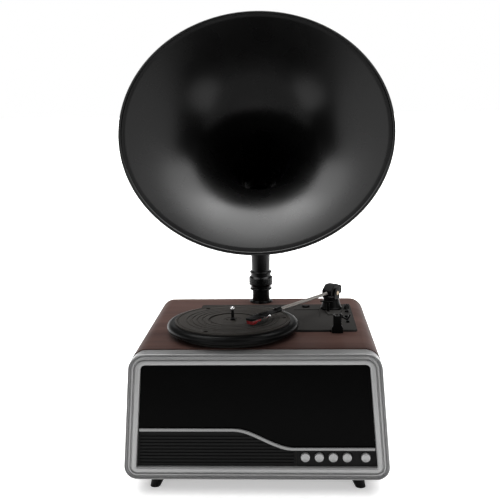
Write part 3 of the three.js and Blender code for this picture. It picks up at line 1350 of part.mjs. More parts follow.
function headshell() {
  const sleeveEnd = shellFront() - CLEAR;
  const start = -SHELL_START;
  const sleeve = rodAlongY(SHELL_SLEEVE_RADIUS, sleeveEnd - SHELL_SLEEVE / 4, start);
  const flareStart = sleeveEnd - SHELL_SLEEVE / 4;
  const neck = SHELL_NECK_WIDTH / 2;
  const wide = SHELL_WIDTH / 2;
  const plan = new THREE.Shape();
  plan.moveTo(-neck, start - SHELL_SLEEVE / 2);
  plan.lineTo(-neck, flareStart);
  plan.lineTo(-wide, flareStart - SHELL_FLARE);
  plan.lineTo(-wide, -SHELL_TIP + SHELL_NOSE);
  plan.quadraticCurveTo(-wide, -SHELL_TIP, 0, -SHELL_TIP);
  plan.quadraticCurveTo(wide, -SHELL_TIP, wide, -SHELL_TIP + SHELL_NOSE);
  plan.lineTo(wide, flareStart - SHELL_FLARE);
  plan.lineTo(neck, flareStart);
  plan.lineTo(neck, start - SHELL_SLEEVE / 2);
  const body = slab(plan, -SHELL_BOTTOM, SHELL_TOP);
  const bore = rodAlongY(TUBE_RADIUS + CLEAR, sleeveEnd, start + OVERRUN);
  return mesh('headshell', cut(join(sleeve, body), bore), glossBlack);
}

function cartridge() {
  const front = -SHELL_TIP + CARTRIDGE_SETBACK;
  const half = CARTRIDGE_WIDTH / 2;
  const outline = roundedRectangle(-half, front, half, front + CARTRIDGE_LENGTH, CARTRIDGE_WIDTH / 6);
  const body = slab(outline, CARTRIDGE_TOP - CARTRIDGE_HEIGHT, CARTRIDGE_TOP);
  return mesh('cartridge', body, redPlastic);
}

function stylus() {
  const front = -SHELL_TIP + CARTRIDGE_SETBACK;
  const low = STYLUS_TOP - STYLUS_HEIGHT;
  const side = [
    [front, STYLUS_TOP],
    [front, low + STYLUS_HEIGHT / 2],
    [front + STYLUS_TIP_SETBACK / 2, low],
    [front + STYLUS_LENGTH / 2, low],
    [front + STYLUS_LENGTH, STYLUS_TOP - STYLUS_HEIGHT / 4],
    [front + STYLUS_LENGTH, STYLUS_TOP],
  ];
  const body = prismAlongX(shapeOf(side), -STYLUS_WIDTH / 2, STYLUS_WIDTH / 2);
  const needle = turned([
    [0, low - STYLUS_TIP],
    [STYLUS_TIP_RADIUS, low],
    [STYLUS_TIP_RADIUS, low + STYLUS_POCKET],
    [0, low + STYLUS_POCKET],
  ], SMALL_SIDES / 2).translate(0, front + STYLUS_TIP_SETBACK, 0);
  return mesh('stylus', join(body, needle), redPlastic);
}

function fingerLift() {
  const near = SHELL_WIDTH / 2 + CLEAR;
  const top = SHELL_TOP;
  const side = [
    [near, top - LIFT_TAB_THICKNESS],
    [near + LIFT_TAB_REACH - LIFT_TAB_CURL, top - LIFT_TAB_THICKNESS],
    [near + LIFT_TAB_REACH, top + LIFT_TAB_CURL - LIFT_TAB_THICKNESS],
    [near + LIFT_TAB_REACH - LIFT_TAB_THICKNESS, top + LIFT_TAB_CURL],
    [near + LIFT_TAB_REACH - LIFT_TAB_CURL - LIFT_TAB_THICKNESS / 2, top],
    [near, top],
  ];
  const front = -SHELL_TIP + LIFT_TAB_BACK;
  return mesh('finger_lift', prismAlongY(shapeOf(side), front - LIFT_TAB_WIDTH, front), steel);
}

// Arm rest, cue lift and switches

function armRest() {
  const foot = REST_FOOT_WIDTH / 2;
  const half = REST_WIDTH / 2;
  const low = CABINET_TOP + CLEAR;
  const shoulder = low + REST_FOOT_HEIGHT;
  const trough = TUBE_UNDER - REST_TROUGH_DROP;
  const outline = [
    [-foot, low],
    [foot, low],
    [foot, shoulder - REST_FOOT_HEIGHT / 3],
    [half, shoulder],
    [half, TUBE_UNDER + REST_STOP_RISE],
    [REST_TROUGH_HALF, TUBE_UNDER + REST_STOP_RISE],
    [REST_TROUGH_HALF, trough],
    [-REST_TROUGH_HALF, trough],
    [-REST_TROUGH_HALF, TUBE_UNDER - REST_LIP_DROP],
    [-half, TUBE_UNDER - REST_LIP_DROP],
    [-half, shoulder],
    [-foot, shoulder - REST_FOOT_HEIGHT / 3],
  ];
  const body = prismAlongY(shapeOf(outline), REST_Y, REST_Y + REST_DEPTH);
  const pin = rodAlongY(CLIP_PIN_RADIUS, REST_Y + REST_DEPTH / 2,
    REST_Y + REST_DEPTH + CLEAR + CLIP_THICKNESS).translate(CLIP_PIN_OFFSET, 0, clipPivotZ());
  const made = mesh('arm_rest', join(body, pin), mattBlack);
  made.position.x = REST_X;
  return made;
}

function clipPivotZ() {
  return TUBE_UNDER - CLIP_PIN_DROP;
}

// The clip is modelled swung open to the right; turned up, its hook closes over the tube
function armClip() {
  const pointing = TURN / 4 - CLIP_TURN_DEGREES * DEGREE;
  const half = CLIP_WIDTH / 2;
  const eye = new THREE.Shape();
  eye.absarc(0, 0, CLIP_EYE_RADIUS, 0, TURN);
  const hooked = shapeOf([
    [0, -half],
    [CLIP_LENGTH, -half],
    [CLIP_LENGTH, CLIP_HOOK],
    [CLIP_LENGTH - CLIP_WIDTH, CLIP_HOOK],
    [CLIP_LENGTH - CLIP_WIDTH, half],
    [0, half],
  ]);
  const hole = rodAlongY(CLIP_PIN_RADIUS + CLEAR, -OVERRUN, CLIP_THICKNESS + OVERRUN);
  const body = join(prismAlongY(eye, 0, CLIP_THICKNESS), prismAlongY(hooked, 0, CLIP_THICKNESS));
  const made = mesh('arm_clip', cut(body, hole).rotateY(-pointing), mattBlack);
  made.position.set(REST_X + CLIP_PIN_OFFSET, REST_Y + REST_DEPTH + CLEAR, clipPivotZ());
  return made;
}

// Place of the cue lift's post, on the arc that the arm sweeps in front of its base
function cuePost() {
  const angle = CUE_POST_DEGREES * DEGREE;
  return new THREE.Vector2(
    ARM_X + CUE_RADIUS * Math.sin(angle), ARM_Y - CUE_RADIUS * Math.cos(angle));
}

function cueLift() {
  const inner = CUE_RADIUS - CUE_BAR_WIDTH / 2;
  const outer = CUE_RADIUS + CUE_BAR_WIDTH / 2;
  const from = -TURN / 4 + CUE_START_DEGREES * DEGREE;
  const to = -TURN / 4 + CUE_END_DEGREES * DEGREE;
  const outline = [
    ...arcPoints(0, 0, inner, from, to, SMALL_SIDES / 2),
    ...arcPoints(0, 0, outer, to, from, SMALL_SIDES / 2),
  ];
  const top = TUBE_UNDER - CLEAR - CUE_TRAVEL;
  const bar = slab(shapeOf(outline), top - CUE_BAR_THICKNESS, top);
  const place = cuePost();
  const post = rod(CUE_POST_RADIUS, PLATE_BOTTOM - CUE_POST_BELOW, top - CUE_BAR_THICKNESS / 2)
    .translate(place.x - ARM_X, place.y - ARM_Y, 0);
  const made = mesh('cue_lift', join(bar, post), mattBlack);
  made.position.set(ARM_X, ARM_Y, 0);
  return made;
}

function leverPivotZ() {
  return PLATE_TOP + CLEAR + BRACKET_BASE + BRACKET_CLEAR_RADIUS;
}

function cueLever() {
  const half = LEVER_WIDTH / 2;
  const thick = LEVER_THICKNESS / 2;
  const hub = rod(LEVER_HUB_RADIUS, -half, half).rotateY(TURN / 4);
  const pin = rod(LEVER_PIN_RADIUS, -half - LEVER_PIN, half + LEVER_PIN, TINY_SIDES).rotateY(TURN / 4);
  const handle = block(-half, half, -LEVER_LENGTH, 0, -thick, thick);
  const tab = block(-half - LEVER_TAB, half, -LEVER_LENGTH, LEVER_WIDTH - LEVER_LENGTH, -thick, thick);
  const lever = join(hub, pin, join(handle, tab).rotateX(LEVER_FALL_DEGREES * DEGREE));
  const made = mesh('cue_lever', lever, mattBlack);
  made.position.set(LEVER_X, LEVER_Y, leverPivotZ());
  return made;
}

function cueBracket() {
  const inner = LEVER_WIDTH / 2 + CLEAR;
  const outer = inner + BRACKET_CHEEK;
  const low = PLATE_TOP + CLEAR;
  const pivot = leverPivotZ();
  const back = LEVER_Y + BRACKET_DEPTH / 2;
  const front = LEVER_Y - BRACKET_DEPTH / 2;
  const base = block(-outer, outer, front, back, low, low + BRACKET_BASE);
  const cheek = [
    [front, low],
    [back, low],
    [back, pivot],
    [LEVER_Y + LEVER_HUB_RADIUS / 2, pivot + LEVER_HUB_RADIUS],
    [LEVER_Y - LEVER_HUB_RADIUS / 2, pivot + LEVER_HUB_RADIUS],
    [front, pivot],
  ];
  const cheeks = [-outer, inner].map((left) =>
    prismAlongX(shapeOf(cheek), left, left + BRACKET_CHEEK));
  const bore = rod(LEVER_PIN_RADIUS + CLEAR, -outer - OVERRUN, outer + OVERRUN).rotateY(TURN / 4)
    .translate(0, LEVER_Y, pivot);
  const made = mesh('cue_bracket', cut(join(base, ...cheeks), bore), mattBlack);
  made.position.x = LEVER_X;
  return made;
}

function slideSwitch(name, y) {
  const bottom = PLATE_TOP + CLEAR;
  const half = SWITCH_CAP_WIDTH / 2;
  const long = SWITCH_CAP_LENGTH / 2;
  const cap = slab(roundedRectangle(-half, -long, half, long, SWITCH_CAP_BEVEL), bottom,
    bottom + SWITCH_CAP_HEIGHT);
  const stem = block(-SWITCH_STEM_WIDTH / 2, SWITCH_STEM_WIDTH / 2, -SWITCH_STEM_LENGTH / 2,
    SWITCH_STEM_LENGTH / 2, PLATE_BOTTOM - SWITCH_STEM_BELOW / 3, bottom + SWITCH_CAP_HEIGHT / 2);
  const made = mesh(name, join(cap, stem), mattBlack);
  made.position.set(SWITCH_X, y, 0);
  return made;
}

function transitScrew() {
  const bottom = PLATE_TOP + CLEAR;
  const edge = TRANSIT_HEAD / 3;
  const screw = turned([
    [0, bottom - TRANSIT_SHANK],
    [TRANSIT_SHANK_RADIUS, bottom - TRANSIT_SHANK],
    [TRANSIT_SHANK_RADIUS, bottom],
    [TRANSIT_HEAD_RADIUS, bottom],
    [TRANSIT_HEAD_RADIUS, bottom + TRANSIT_HEAD - edge],
    [TRANSIT_HEAD_RADIUS - edge, bottom + TRANSIT_HEAD],
    [0, bottom + TRANSIT_HEAD],
  ], SMALL_SIDES);
  const slot = block(-TRANSIT_HEAD_RADIUS - OVERRUN, TRANSIT_HEAD_RADIUS + OVERRUN,
    -TRANSIT_SLOT_WIDTH / 2, TRANSIT_SLOT_WIDTH / 2,
    bottom + TRANSIT_HEAD - TRANSIT_SLOT_DEPTH, bottom + TRANSIT_HEAD + OVERRUN);
  const made = mesh('transit_screw', cut(screw, slot), mattBlack);
  made.position.set(TRANSIT_X, TRANSIT_Y, 0);
  return made;
}

// Horn

function hornSocket() {
  const bore = STEM_RADIUS - SOCKET_WALL;
  const flangeLow = CABINET_TOP + CLEAR;
  const underside = CABINET_TOP - CABINET_WALL - CLEAR;
  const profile = [
    [bore, underside - SOCKET_BELOW],
    [STEM_RADIUS, underside - SOCKET_BELOW],
    [STEM_RADIUS, underside - SOCKET_NUT],
    [SOCKET_NUT_RADIUS, underside - SOCKET_NUT],
    [SOCKET_NUT_RADIUS, underside],
    [STEM_RADIUS, underside],
    [STEM_RADIUS, flangeLow],
    [SOCKET_FLANGE_RADIUS, flangeLow],
    [SOCKET_FLANGE_RADIUS, flangeLow + SOCKET_FLANGE / 2],
    [SOCKET_FLANGE_RADIUS - SOCKET_FLANGE, flangeLow + SOCKET_FLANGE],
    [STEM_RADIUS, flangeLow + SOCKET_FLANGE],
    [STEM_RADIUS, SOCKET_TOP],
    [bore, SOCKET_TOP],
  ];
  const made = mesh('horn_socket', turnedRing(profile, MEDIUM_SIDES), glossBlack);
  made.position.set(0, STEM_Y, 0);
  return made;
}

function hornCollar() {
  const bore = STEM_RADIUS + CLEAR;
  const ringTop = COLLAR_BOTTOM + COLLAR_RING;
  const bulgeLow = ringTop + COLLAR_GAP;
  const bulgeHigh = bulgeLow + COLLAR_BULGE;
  const upperRing = COLLAR_TOP - COLLAR_RING;
  const round = COLLAR_RING / 3;
  const profile = [
    [bore, COLLAR_BOTTOM],
    [COLLAR_RING_RADIUS, COLLAR_BOTTOM],
    [COLLAR_RING_RADIUS, ringTop - round],
    [COLLAR_WAIST_RADIUS, ringTop],
    [COLLAR_WAIST_RADIUS, bulgeLow],
    [COLLAR_BULGE_RADIUS, bulgeLow + COLLAR_RING],
    [COLLAR_BULGE_RADIUS, bulgeHigh - COLLAR_RING],
    [COLLAR_WAIST_RADIUS, bulgeHigh],
    [COLLAR_WAIST_RADIUS, upperRing],
    [COLLAR_RING_RADIUS, upperRing + round],
    [COLLAR_RING_RADIUS, COLLAR_TOP - round],
    [COLLAR_RING_RADIUS - round, COLLAR_TOP],
    [bore, COLLAR_TOP],
  ];
  const made = mesh('horn_collar', turnedRing(profile, MEDIUM_SIDES), glossBlack);
  made.position.set(0, STEM_Y, 0);
  return made;
}

// Centre, direction and radius of the neck's sections, from the socket to the bell
function neckSections() {
  const sections = [];
  const up = new THREE.Vector3(0, 0, 1);
  const low = COLLAR_TOP + CLEAR;
  const bendStart = AXIS_CROSSING - ELBOW_TANGENT;
  sections.push({ centre: new THREE.Vector3(0, 0, SOCKET_TOP + CLEAR), along: up, radius: NECK_FIT_RADIUS });
  sections.push({ centre: new THREE.Vector3(0, 0, low), along: up, radius: NECK_FIT_RADIUS });
  const length = bendStart - low + ELBOW_RADIUS * ELBOW_ANGLE + NECK_TENON;
  const radiusAt = (travelled) =>
    NECK_START_RADIUS + (NECK_END_RADIUS - NECK_START_RADIUS) * (travelled / length);
  sections.push({ centre: new THREE.Vector3(0, 0, low + CLEAR), along: up, radius: radiusAt(CLEAR) });
  for (let i = 0; i <= NECK_STEPS; i += 1) {
    const angle = ELBOW_ANGLE * (i / NECK_STEPS);
    const centre = new THREE.Vector3(
      0, -ELBOW_RADIUS * (1 - Math.cos(angle)), bendStart + ELBOW_RADIUS * Math.sin(angle));
    const along = new THREE.Vector3(0, -Math.sin(angle), Math.cos(angle));
    sections.push({ centre, along, radius: radiusAt(bendStart - low + ELBOW_RADIUS * angle) });
  }
  const end = sections[sections.length - 1];
  const centre = end.centre.clone().addScaledVector(end.along, NECK_TENON);
  sections.push({ centre, along: end.along, radius: NECK_END_RADIUS });
  return sections;
}

function neckRing({ centre, along, radius }, inset) {
  const side = new THREE.Vector3(1, 0, 0);
  const across = new THREE.Vector3().crossVectors(along, side);
  const ring = [];
  for (let i = 0; i < NECK_SIDES; i += 1) {
    const angle = TURN * (i / NECK_SIDES);
    ring.push(centre.clone()
      .addScaledVector(side, (radius - inset) * Math.cos(angle))
      .addScaledVector(across, (radius - inset) * Math.sin(angle)));
  }
  return ring;
}

function hornNeck() {
  const sections = neckSections();
  const outer = sections.map((section) => neckRing(section, 0));
  const inner = sections.map((section) => neckRing(section, NECK_WALL)).reverse();
  return mesh('horn_neck', loft([...outer, ...inner], true), glossBlack);
}

// Radius of the bell's outer wall at a distance behind the mouth: it closes in fast
// near the mouth and ever more slowly towards the throat
function bellRadius(behind) {
  const mouth = BELL_RADIUS - BELL_BEAD;
  const throat = NECK_END_RADIUS + CLEAR + BELL_WALL;
  const start = BELL_LENGTH / ((mouth / throat) ** (1 / BELL_FLARE_POWER) - 1);
  return mouth * (start / (start + behind)) ** BELL_FLARE_POWER;
}

function hornBell() {
  const outer = [];
  const inner = [];
  for (let i = 1; i <= BELL_STEPS; i += 1) {
    const behind = BELL_LENGTH * (i / BELL_STEPS) ** 2;
    const nudge = BELL_WALL / 2;
    const radius = bellRadius(behind);
    const slope = (bellRadius(behind - nudge) - bellRadius(behind + nudge)) / (2 * nudge);
    const size = Math.hypot(1, slope);
    outer.push([radius, -behind]);
    inner.push([radius - BELL_WALL / size, -behind + BELL_WALL * slope / size]);
  }
  const ringOut = outer[BELL_STEPS - 1][0] + BELL_THROAT_RING;
  const ringEnd = -BELL_LENGTH + BELL_THROAT_RING_LENGTH;
  const ringFoot = bellRadius(BELL_LENGTH - BELL_THROAT_RING_LENGTH - BELL_THROAT_RING);
  const nudge = BELL_WALL / 2;
  const lipSlope = Math.atan2(bellRadius(0) - bellRadius(nudge), nudge);
  const wallAngle = TURN / 2 + TURN / 4 - lipSlope;
  const spread = Math.asin(BELL_WALL / 2 / BELL_BEAD) + BELL_WALL / BELL_RADIUS;
  const bead = arcPoints(BELL_RADIUS - BELL_BEAD, 0, BELL_BEAD, wallAngle + spread,
    wallAngle + TURN - spread, BELL_BEAD_STEPS);
  const throat = inner.pop();
  const profile = [
    [throat[0], -BELL_LENGTH],
    [ringOut, -BELL_LENGTH],
    [ringOut, ringEnd],
    [ringFoot, ringEnd + BELL_THROAT_RING],
    ...outer.slice(0, -1).reverse(),
    ...bead,
    ...inner,
  ];
  const made = mesh('horn_bell', turnedRing(profile, BELL_SIDES), glossBlack);
  made.rotation.x = TURN / 4 - TILT;
  made.position.set(0, MOUTH_Y - STEM_Y, MOUTH_Z);
  return made;
}

// Assembly

function tonearm() {
  const arm = new THREE.Group();
  arm.add(armYoke(), armHead(), counterweight(), armTube(), headshell(), cartridge(), stylus(),
    fingerLift());
  arm.position.set(ARM_X, ARM_Y, ARM_Z);
  arm.rotation.z = -ARM_TURN_DEGREES * DEGREE;
  return arm;
}

function horn() {
  const turning = new THREE.Group();
  turning.add(hornNeck(), hornBell());
  turning.position.set(0, STEM_Y, 0);
  turning.rotation.z = HORN_TURN_DEGREES * DEGREE;
  return turning;
}

const model = new THREE.Group();
model.add(
  cabinetWrap(),
  backPanel(),
  foot('foot_front_left', -1, -1),
  foot('foot_front_right', 1, -1),
  foot('foot_back_left', -1, 1),
  foot('foot_back_right', 1, 1),
  bezel(),
  frontPanel(),
  grillePanel(),
  controlPanel(),
  trimStrip(),
  baffleBoard(),
  ...controlPlaces().map((x, i) => pushButton(i + 1, x)),
  volumeKnob(),
  controlBoard(),
  speaker('speaker_left', SPEAKER_LEFT_X),
  speaker('speaker_right', SPEAKER_RIGHT_X),
  mainBoard(),
  transformer(),
  powerInlet(),
  audioJacks(),
  basePlate(),
  spindleBush(),
  platter(),
  platterMat(),
  spindle(),
  motor(),
  motorPulley(),
  driveBelt(),
  armBase(),
  tonearm(),
  armRest(),
  armClip(),
  cueLift(),
  cueLever(),
  cueBracket(),
  slideSwitch('speed_switch', SPEED_SWITCH_Y),
  slideSwitch('auto_stop_switch', STOP_SWITCH_Y),
  transitScrew(),
  hornSocket(),
  hornCollar(),
  horn(),
);

// The origin lies under the middle of the whole object, on the surface that it stands on
const bounds = new THREE.Box3().setFromObject(model, true);
const middle = bounds.getCenter(new THREE.Vector3());
model.position.set(-middle.x, -middle.y, -bounds.min.z);

export default model;
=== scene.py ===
"""Retro record player with a big gramophone horn, dressed for the photograph's view.

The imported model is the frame. Every piece is drawn in millimetres in the cabinet's own
drawing, with X from the cabinet's middle, Y from the front edge and Z from the table, and
one layout puts the finished mesh into the frame in metres.
"""

from __future__ import annotations

import json
import logging
import math
from dataclasses import dataclass
from enum import Enum
from typing import Any, Iterable, Sequence

import bmesh
import bpy
from mathutils import Matrix, Vector

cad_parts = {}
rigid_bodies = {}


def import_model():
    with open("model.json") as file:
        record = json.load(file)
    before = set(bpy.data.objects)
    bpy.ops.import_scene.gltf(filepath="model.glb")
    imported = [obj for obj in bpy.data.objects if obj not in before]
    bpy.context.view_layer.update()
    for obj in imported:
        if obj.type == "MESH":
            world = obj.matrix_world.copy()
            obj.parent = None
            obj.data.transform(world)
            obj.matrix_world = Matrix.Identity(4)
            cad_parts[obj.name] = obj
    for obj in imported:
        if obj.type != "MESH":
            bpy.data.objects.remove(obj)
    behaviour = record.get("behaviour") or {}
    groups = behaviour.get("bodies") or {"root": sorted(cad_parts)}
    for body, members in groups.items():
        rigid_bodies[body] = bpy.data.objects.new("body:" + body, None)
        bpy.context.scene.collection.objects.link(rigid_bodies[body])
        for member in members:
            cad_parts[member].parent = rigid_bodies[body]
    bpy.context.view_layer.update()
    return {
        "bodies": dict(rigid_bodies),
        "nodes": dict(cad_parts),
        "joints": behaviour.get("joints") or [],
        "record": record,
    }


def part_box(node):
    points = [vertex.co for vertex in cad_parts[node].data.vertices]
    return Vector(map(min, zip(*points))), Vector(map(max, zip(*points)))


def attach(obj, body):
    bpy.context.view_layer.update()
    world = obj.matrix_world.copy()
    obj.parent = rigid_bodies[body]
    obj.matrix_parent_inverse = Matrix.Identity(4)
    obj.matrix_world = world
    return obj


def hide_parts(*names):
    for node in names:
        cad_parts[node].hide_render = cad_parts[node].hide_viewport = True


LOG = logging.getLogger("record_player")

MILLIMETRE = 0.001
TURN = 2 * math.pi
QUARTER = math.pi / 2
# Millimetres: the gap between two pieces, how far a cutter reaches past what it cuts, the
# gaps that are closed after a cut and along a frame's seam, and the smallest step inwards
CLEAR = 0.3
OVERRUN = 2.0
WELD = 0.0005
SEAM = 0.01
LEAST_STEP = 0.00002
# An edge that turns by more than this is drawn sharp
SHARP = math.radians(32)
# Nearly all values of a noise texture lie between these
NOISE_LOW, NOISE_HIGH = 0.3, 0.7

Solid = bmesh.types.BMesh
Tree = bpy.types.NodeTree
Node = bpy.types.Node
Socket = bpy.types.NodeSocket
Pair = tuple[float, float]
Triple = tuple[float, float, float]
Colour = tuple[float, float, float, float]


class Steps(Enum):
    """How many faces go round a turned piece."""

    BELL = 224
    FINE = 160
    MEDIUM = 72
    SMALL = 40
    TINY = 20


class Axis(Enum):
    """Where a drawing's own X, Y and Z go: its Z runs along the axis that is named."""

    X = ((0, 0, 1, 0), (1, 0, 0, 0), (0, 1, 0, 0), (0, 0, 0, 1))
    Y = ((1, 0, 0, 0), (0, 0, 1, 0), (0, 1, 0, 0), (0, 0, 0, 1))
    Z = ((1, 0, 0, 0), (0, 1, 0, 0), (0, 0, 1, 0), (0, 0, 0, 1))


class Cut(Enum):
    """How two solids are combined."""

    TAKE = "DIFFERENCE"
    ADD = "UNION"
    KEEP = "INTERSECT"


class Body(Enum):
    """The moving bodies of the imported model."""

    CABINET = "cabinet"
    PLATTER = "platter_body"
    TURRET = "arm_turret"
    BEAM = "arm_beam"
    CLIP = "clip_body"
    LEVER = "cue_lever_body"
    LIFT = "cue_lift_body"
    SPEED = "speed_switch_body"
    STOP = "auto_stop_switch_body"
    KNOB = "volume_knob_body"
    HORN = "horn_body"


# Finishes


def linear(colour: str) -> Colour:
    """Turns an sRGB hex colour to the linear values that shaders take.

    Args:
        colour: a colour such as "#4f3f3b".

    Returns:
        Red, green, blue and a full alpha.
    """
    parts = [int(colour[i:i + 2], 16) / 255 for i in (1, 3, 5)]
    low = [p / 12.92 if p <= 0.04045 else ((p + 0.055) / 1.055) ** 2.4 for p in parts]
    return (low[0], low[1], low[2], 1.0)


def per_metre(size_mm: float) -> float:
    """Returns the texture scale at which one feature measures size_mm on the object."""
    return 1 / (size_mm * MILLIMETRE)


def node(tree: Tree, kind: str, inputs: dict[Any, Any] | None = None,
         **settings: Any) -> Node:
    """Adds one node to a tree.

    Args:
        tree: the tree that gets the node.
        kind: Blender's name for the type of node.
        inputs: a value or an output socket for each input, by name or number.
        settings: the node's own properties.

    Returns:
        The new node.
    """
    made = tree.nodes.new(kind)
    for key, value in settings.items():
        setattr(made, key, value)
    for key, value in (inputs or {}).items():
        if isinstance(value, Socket):
            tree.links.new(value, made.inputs[key])
        else:
            made.inputs[key].default_value = value
    return made


def noise(tree: Tree, place: Socket, size_mm: float, detail: float,
          distortion: float = 0.0, roughness: float = 0.5) -> Socket:
    """Adds a noise to a tree.

    Args:
        tree: the tree that gets it.
        place: where the noise is looked up.
        size_mm: the size of one feature on the object.
        detail: how many times finer noise is laid over it.
        distortion: how far the features are swirled.
        roughness: how strong the finer noise is.

    Returns:
        The noise, from 0 to 1.
    """
    return node(tree, "ShaderNodeTexNoise", {
        "Vector": place, "Scale": per_metre(size_mm), "Detail": detail,
        "Distortion": distortion, "Roughness": roughness}).outputs["Fac"]


@dataclass(frozen=True)
class Finish:
    """What all finishes share: a name, a colour and the shader's plain values.

    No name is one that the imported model's own plain materials have.
    """

    name: str
    colour: str
    roughness: float = 0.5
    metallic: float = 0.0
    specular: float = 0.5
    spread: float = 0.15

    def material(self) -> bpy.types.Material:
        """Returns the finish's material, built the first time it is asked for."""
        known = bpy.data.materials.get(self.name)
        return known if known else self.build()

    def build(self) -> bpy.types.Material:
        """Builds the material: a shader, and the surface that the subclass draws on it."""
        made = bpy.data.materials.new(self.name)
        made.use_nodes = True
        tree = made.node_tree
        tree.nodes.clear()
        shader = node(tree, "ShaderNodeBsdfPrincipled", {
            "Base Color": linear(self.colour),
            "Roughness": self.roughness,
            "Metallic": self.metallic,
            "Specular IOR Level": self.specular,
        })
        node(tree, "ShaderNodeOutputMaterial", {"Surface": shader.outputs["BSDF"]})
        self.draw(tree, shader, node(tree, "ShaderNodeTexCoord").outputs["Object"])
        return made

    def draw(self, tree: Tree, shader: Node, place: Socket) -> None:
        """Draws the surface on the shader from the object's coordinates.

        Args:
            tree: the material's tree.
            shader: its shader.
            place: the object coordinates.
        """

    def tint(self, tree: Tree, shader: Node, share: Socket, low: str, high: str) -> None:
        """Runs the base colour from one hex colour to another by a share from 0 to 1."""
        ramp = node(tree, "ShaderNodeValToRGB", {"Fac": share})
        ramp.color_ramp.elements[0].color = linear(low)
        ramp.color_ramp.elements[1].color = linear(high)
        tree.links.new(ramp.outputs["Color"], shader.inputs["Base Color"])

    def sheen(self, tree: Tree, shader: Node, share: Socket) -> None:
        """Lets the roughness vary either way of its plain value, by the finish's spread."""
        spreading = node(tree, "ShaderNodeMapRange", {
            "Value": share, "From Min": NOISE_LOW, "From Max": NOISE_HIGH,
            "To Min": self.roughness * (1 - self.spread),
            "To Max": self.roughness * (1 + self.spread)})
        tree.links.new(spreading.outputs["Result"], shader.inputs["Roughness"])

    def emboss(self, tree: Tree, shader: Node, height: Socket, depth_mm: float) -> None:
        """Raises the surface by a height map of the given depth."""
        bump = node(tree, "ShaderNodeBump", {
            "Height": height, "Strength": 1.0, "Distance": depth_mm * MILLIMETRE})
        tree.links.new(bump.outputs["Normal"], shader.inputs["Normal"])


@dataclass(frozen=True)
class MouldedPlastic(Finish):
    """Injection-moulded ABS: a spark-eroded grain, and broad changes in sheen and tone."""

    pale: str = "#1e1e1e"
    grain_mm: float = 0.9
    depth_mm: float = 0.03
    patch_mm: float = 45.0

    def draw(self, tree: Tree, shader: Node, place: Socket) -> None:
        """Draws the grain as bump, and patches of sheen and tone."""
        patch = noise(tree, place, self.patch_mm, 5.0)
        self.emboss(tree, shader, noise(tree, place, self.grain_mm, 3.0), self.depth_mm)
        self.sheen(tree, shader, patch)
        self.tint(tree, shader, patch, self.colour, self.pale)


@dataclass(frozen=True)
class Lacquer(Finish):
    """Sprayed lacquer over a smooth shell: orange peel, and a haze of fine dust."""

    pale: str = "#101010"
    peel_mm: float = 6.0
    haze_mm: float = 60.0
    depth_mm: float = 0.004
    spread: float = 0.1

    def draw(self, tree: Tree, shader: Node, place: Socket) -> None:
        """Draws the orange peel as bump and the haze as sheen."""
        haze = noise(tree, place, self.haze_mm, 6.0)
        self.emboss(tree, shader, noise(tree, place, self.peel_mm, 2.0), self.depth_mm)
        self.sheen(tree, shader, haze)
        self.tint(tree, shader, haze, self.colour, self.pale)


@dataclass(frozen=True)
class Veneer(Finish):
    """Dark walnut veneer under satin varnish: long pores and slow bands of tone."""

    dark: str = "#3a2a28"
    figure_mm: float = 26.0
    pore_mm: float = 1.3
    stretch: float = 16.0
    pore_depth_mm: float = 0.05
    pore_share: float = 0.45
    contrast: Pair = (0.36, 0.64)

    def draw(self, tree: Tree, shader: Node, place: Socket) -> None:
        """Draws the figure and the pores, both long round the cabinet's sides and top."""
        along = node(tree, "ShaderNodeMapping", {
            "Vector": place, "Scale": (1 / self.stretch, 1.0, 1 / self.stretch)})
        figure = noise(tree, along.outputs["Vector"], self.figure_mm, 6.0, distortion=0.6)
        pores = noise(tree, along.outputs["Vector"], self.pore_mm, 3.0, roughness=0.6)
        both = node(tree, "ShaderNodeMix", {"Factor": self.pore_share, "A": figure, "B": pores})
        tone = node(tree, "ShaderNodeMapRange", {
            "Value": both.outputs["Result"], "From Min": self.contrast[0],
            "From Max": self.contrast[1]})
        self.tint(tree, shader, tone.outputs["Result"], self.dark, self.colour)
        self.emboss(tree, shader, pores, self.pore_depth_mm)
        self.sheen(tree, shader, pores)


@dataclass(frozen=True)
class FlakePaint(Finish):
    """Metallic paint or plating: fine flake, and slow changes of tone where it is worn."""

    pale: str = "#b4b4b4"
    flake_mm: float = 0.5
    wear_mm: float = 38.0
    depth_mm: float = 0.0
    spread: float = 0.04

    def draw(self, tree: Tree, shader: Node, place: Socket) -> None:
        """Draws the flake as bump, and the wear as tone and slight changes in sheen."""
        wear = noise(tree, place, self.wear_mm, 5.0)
        self.emboss(tree, shader, noise(tree, place, self.flake_mm, 2.0), self.depth_mm)
        self.sheen(tree, shader, wear)
        self.tint(tree, shader, wear, self.colour, self.pale)


@dataclass(frozen=True)
class MachinedMetal(Finish):
    """Drawn or turned metal: fine parallel marks across one axis, and soft smudges."""

    pale: str = "#c8c6c2"
    squeeze: Triple = (1.0, 1.0, 12.0)
    mark_mm: float = 2.4
    smudge_mm: float = 14.0
    depth_mm: float = 0.008
    spread: float = 0.25

    def draw(self, tree: Tree, shader: Node, place: Socket) -> None:
        """Draws the marks, squeezed along the axis that the tool moved along."""
        squeezed = node(tree, "ShaderNodeMapping", {"Vector": place, "Scale": self.squeeze})
        marks = noise(tree, squeezed.outputs["Vector"], self.mark_mm, 4.0)
        self.emboss(tree, shader, marks, self.depth_mm)
        self.sheen(tree, shader, noise(tree, place, self.smudge_mm, 4.0))
        self.tint(tree, shader, marks, self.colour, self.pale)


